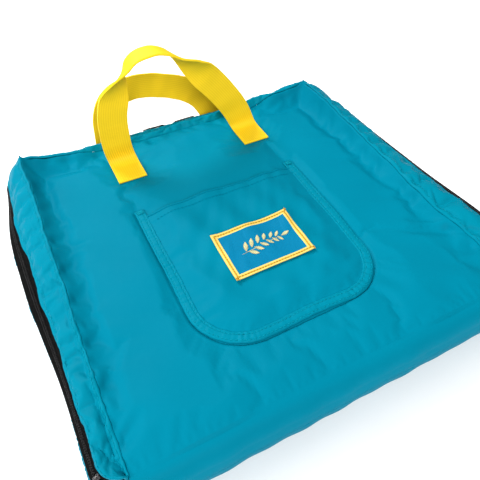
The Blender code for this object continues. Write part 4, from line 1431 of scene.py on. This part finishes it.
def label_material():
    """Damask label: blue satin ground inside a gold woven border."""
    low_corner, high_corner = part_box("pocket_label")
    middle = (low_corner + high_corner) / 2
    half = (high_corner - low_corner) / 2
    ground, gold = (0.0, 0.160, 0.310), (0.66, 0.40, 0.05)
    nodes = Nodes("label_damask", ground, 0.6, Specular_IOR_Level=0.05)
    u, v, _ = nodes.separate(nodes.uv())
    from_side = nodes.math("SUBTRACT", half.x,
                           nodes.math("ABSOLUTE", nodes.math("SUBTRACT", u, middle.x)))
    from_end = nodes.math("SUBTRACT", half.y,
                          nodes.math("ABSOLUTE", nodes.math("SUBTRACT", v, middle.y)))
    edge = nodes.math("MINIMUM", from_side, from_end)
    border = nodes.math("LESS_THAN", edge, 4.2 * MM)
    centre = nodes.math("LESS_THAN", nodes.math("ABSOLUTE", nodes.math("SUBTRACT", edge, BORDER)),
                        0.75 * MM)
    pick = nodes.weave(1150.0, 1400.0)
    trim = nodes.mix(centre, (0.78, 0.58, 0.15), gold)
    satin = nodes.mix(nodes.math("MULTIPLY", pick, 0.35), ground, (0.0, 0.24, 0.42))
    tone = nodes.mix(border, satin, trim)
    fleck = nodes.noise(nodes.object_coords(), 900.0, 2.0)
    nodes.link(nodes.mix(nodes.math("MULTIPLY", fleck, 0.25), tone, (0.05, 0.12, 0.12), "MULTIPLY"),
               "Base Color")
    nodes.relief(pick, 0.5, 0.12 * MM)
    return nodes.material


def label(material, cream, amber):
    """Woven label with a stitched border and a plain sprig worked in satin stitch."""
    low_corner, high_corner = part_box("pocket_label")
    middle = (low_corner + high_corner) / 2
    wide, tall = high_corner.x - low_corner.x, high_corner.y - low_corner.y
    x = np.linspace(low_corner.x, high_corner.x, 132)
    y = np.linspace(high_corner.y, low_corner.y, 92)
    gx, gy = np.meshgrid(x, y)
    edge = np.minimum.reduce([gx - x[0], x[-1] - gx, y[0] - gy, gy - y[-1]])
    rim = 0.28 * MM * ease(edge, 4.8 * MM, 4.0 * MM) - 0.12 * MM * bell(edge - BORDER, 0.7 * MM)
    from_end = np.abs((gy - middle.y) / tall * 2)
    curl = 0.9 * MM * (np.abs((gx - middle.x) / wide * 2) ** 6 * from_end ** 6)
    lift = 0.35 * MM + 0.25 * MM * ease(edge, 8 * MM, 0.0)
    reach = 7 * MM
    under = [pocket_top(gx + dx, gy + dy) for dx in (-reach, 0, reach) for dy in (-reach, 0, reach)]
    surface = np.maximum(np.mean(under, axis=0), pocket_top(gx, gy) - 0.1 * MM) + lift + rim + curl
    bow = 0.35 * MM * np.sin(math.pi * (gx - x[0]) / wide)
    shift = -bow * np.sign(gy - middle.y) * from_end ** 2
    points = np.stack([gx, gy + shift, surface + 0.3 * MM], axis=2)
    piece = cloth("pocket_label", points, 0.6 * MM, material, plan=True)
    on_front(piece, "label", "pocket_label")

    def on_label(px, py, rise):
        column = np.clip(np.round((px - x[0]) / wide * (len(x) - 1)).astype(int), 0, len(x) - 1)
        row = np.clip(np.round((y[0] - py) / tall * (len(y) - 1)).astype(int), 0, len(y) - 1)
        return np.stack([px, py, points[row, column, 2] + rise], axis=1)

    trims = [label_border(x, y, on_label, amber), label_knots(x, y, on_label, amber),
             label_sprig(middle, on_label, cream)]
    for trim in trims:
        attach(trim, "front_half")


def label_border(x, y, on_label, material):
    """Stitches along the middle of the woven border."""
    corners = [(x[0] + BORDER, y[0] - BORDER), (x[-1] - BORDER, y[0] - BORDER),
               (x[-1] - BORDER, y[-1] + BORDER), (x[0] + BORDER, y[-1] + BORDER)]
    share = np.linspace(0, 1, 60)
    lines = [on_label(ax + (bx - ax) * share, ay + (by - ay) * share, 0.30 * MM)
             for (ax, ay), (bx, by) in zip(corners, corners[1:] + corners[:1])]
    return stitches("label_border_stitches", lines, [UP] * 4, 2.3 * MM, material, 0.34 * MM, 0.78)


def label_knots(x, y, on_label, material):
    """Loose thread ends at three of the label's corners."""
    rng = np.random.default_rng(77)
    tufts = []
    for cx, cy in ((x[-1], y[-1]), (x[0], y[-1]), (x[-1], y[0])):
        for _ in range(7):
            angle = rng.uniform(0, 2 * math.pi)
            reach = rng.uniform(1.0, 2.4) * MM
            start = np.array([cx - np.sign(cx) * 0.8 * MM, cy + (0.8 * MM if cy == y[-1] else -0.8 * MM)])
            end = start + reach * np.array([math.cos(angle), math.sin(angle)])
            tufts.append(on_label(np.array([start[0], end[0]]), np.array([start[1], end[1]]), 0.35 * MM))
    return stitches("label_corner_knots", tufts, [UP] * len(tufts), 9 * MM, material, 0.38 * MM, 0.98)


def label_sprig(middle, on_label, material):
    """A plain sprig in satin stitch: a stem, pairs of leaves and a leaf at the tip."""
    sprig = []

    def leaf(base_x, base_y, angle, length, width):
        count = int(length / (0.42 * MM))
        for step in range(1, count):
            t = step / count
            half_width = width / 2 * math.sin(math.pi * t ** 0.8)
            ahead = np.array([math.cos(angle), math.sin(angle)])
            across = np.array([-ahead[1], ahead[0]]) * half_width
            point = np.array([base_x, base_y]) + ahead * length * t
            lean = ahead * half_width * 0.5
            barb = np.array([point - across + lean, point, point + across + lean])
            sprig.append(on_label(barb[:, 0], barb[:, 1], 0.42 * MM))

    stem_x = middle.x + np.linspace(-19 * MM, 17 * MM, 40)
    stem_y = middle.y - 1.5 * MM + 3.4 * MM * np.sin(np.linspace(-0.6, 2.4, 40))
    sprig.append(on_label(stem_x, stem_y, 0.40 * MM))
    for number, at in enumerate((5, 11, 17, 23, 29, 34)):
        slope = math.atan2(stem_y[at + 1] - stem_y[at], stem_x[at + 1] - stem_x[at])
        size = (9.2 - 0.55 * number) * MM
        leaf(stem_x[at], stem_y[at], slope + 0.95, size, 0.42 * size)
        leaf(stem_x[at] + 1.6 * MM, stem_y[at], slope - 0.95, size * 0.92, 0.40 * size)
    leaf(stem_x[-1], stem_y[-1], 0.15, 7.5 * MM, 3.4 * MM)
    return stitches("label_sprig", sprig, [UP] * len(sprig), 60 * MM, material, 0.27 * MM, 0.98)


# ---- put it together ------------------------------------------------------------------------------
camera()
studio()

TEAL = (0.0, 0.163, 0.247)
cover_cloth = nylon("cover_nylon", TEAL, (0.0, 0.177, 0.265), 0.5, 0.012)
gusset_cloth = nylon("gusset_nylon", (0.0, 0.172, 0.254), (0.0, 0.190, 0.274), 0.46, 0.018)
teal_thread = thread_material("teal_thread", (0.0, 0.255, 0.345))
yellow = webbing_material()
black_tape = tape_material()
black_coil = coil_material()

SLACK = settle_cover()
cover = front_cover(cover_cloth)
base = back_cover(cover_cloth)
gussets(gusset_cloth, teal_thread)
front_pad, back_pad = pads(foam_material())
lining_cloth = lining_material()
spine_lining(lining_cloth, [pad_lining("front_lining", front_pad, 1, "front_half", lining_cloth),
                            pad_lining("back_lining", back_pad, -1, "back_half", lining_cloth)])
pocket_binding(pocket_panel(cover_cloth), gusset_cloth, teal_thread)
pocket_hem(cover_cloth)
label(label_material(), thread_material("cream_thread", (0.60, 0.56, 0.30)),
      thread_material("amber_thread", (0.48, 0.25, 0.02)))
metal = metal_material()
for fitting in (slider, stop):
    for end in ("left", "right"):
        fitting(end, metal)
tape("front_zip_tape", 0.0, black_tape, "front_half")
tape("back_zip_tape", 8.1 * MM, black_tape, "back_half")
coil("front_zip_coil", 5.25 * MM, 1, black_coil, "front_half")
coil("back_zip_coil", 7.05 * MM, -1, black_coil, "back_half")
strap("front_handle", FRONT_ARCH, front_strap_place, FRONT_STRAP_Z,
      yellow, 80)
strap("back_handle", BACK_ARCH, back_strap_place, BACK_STRAP_Z,
      yellow, 12)
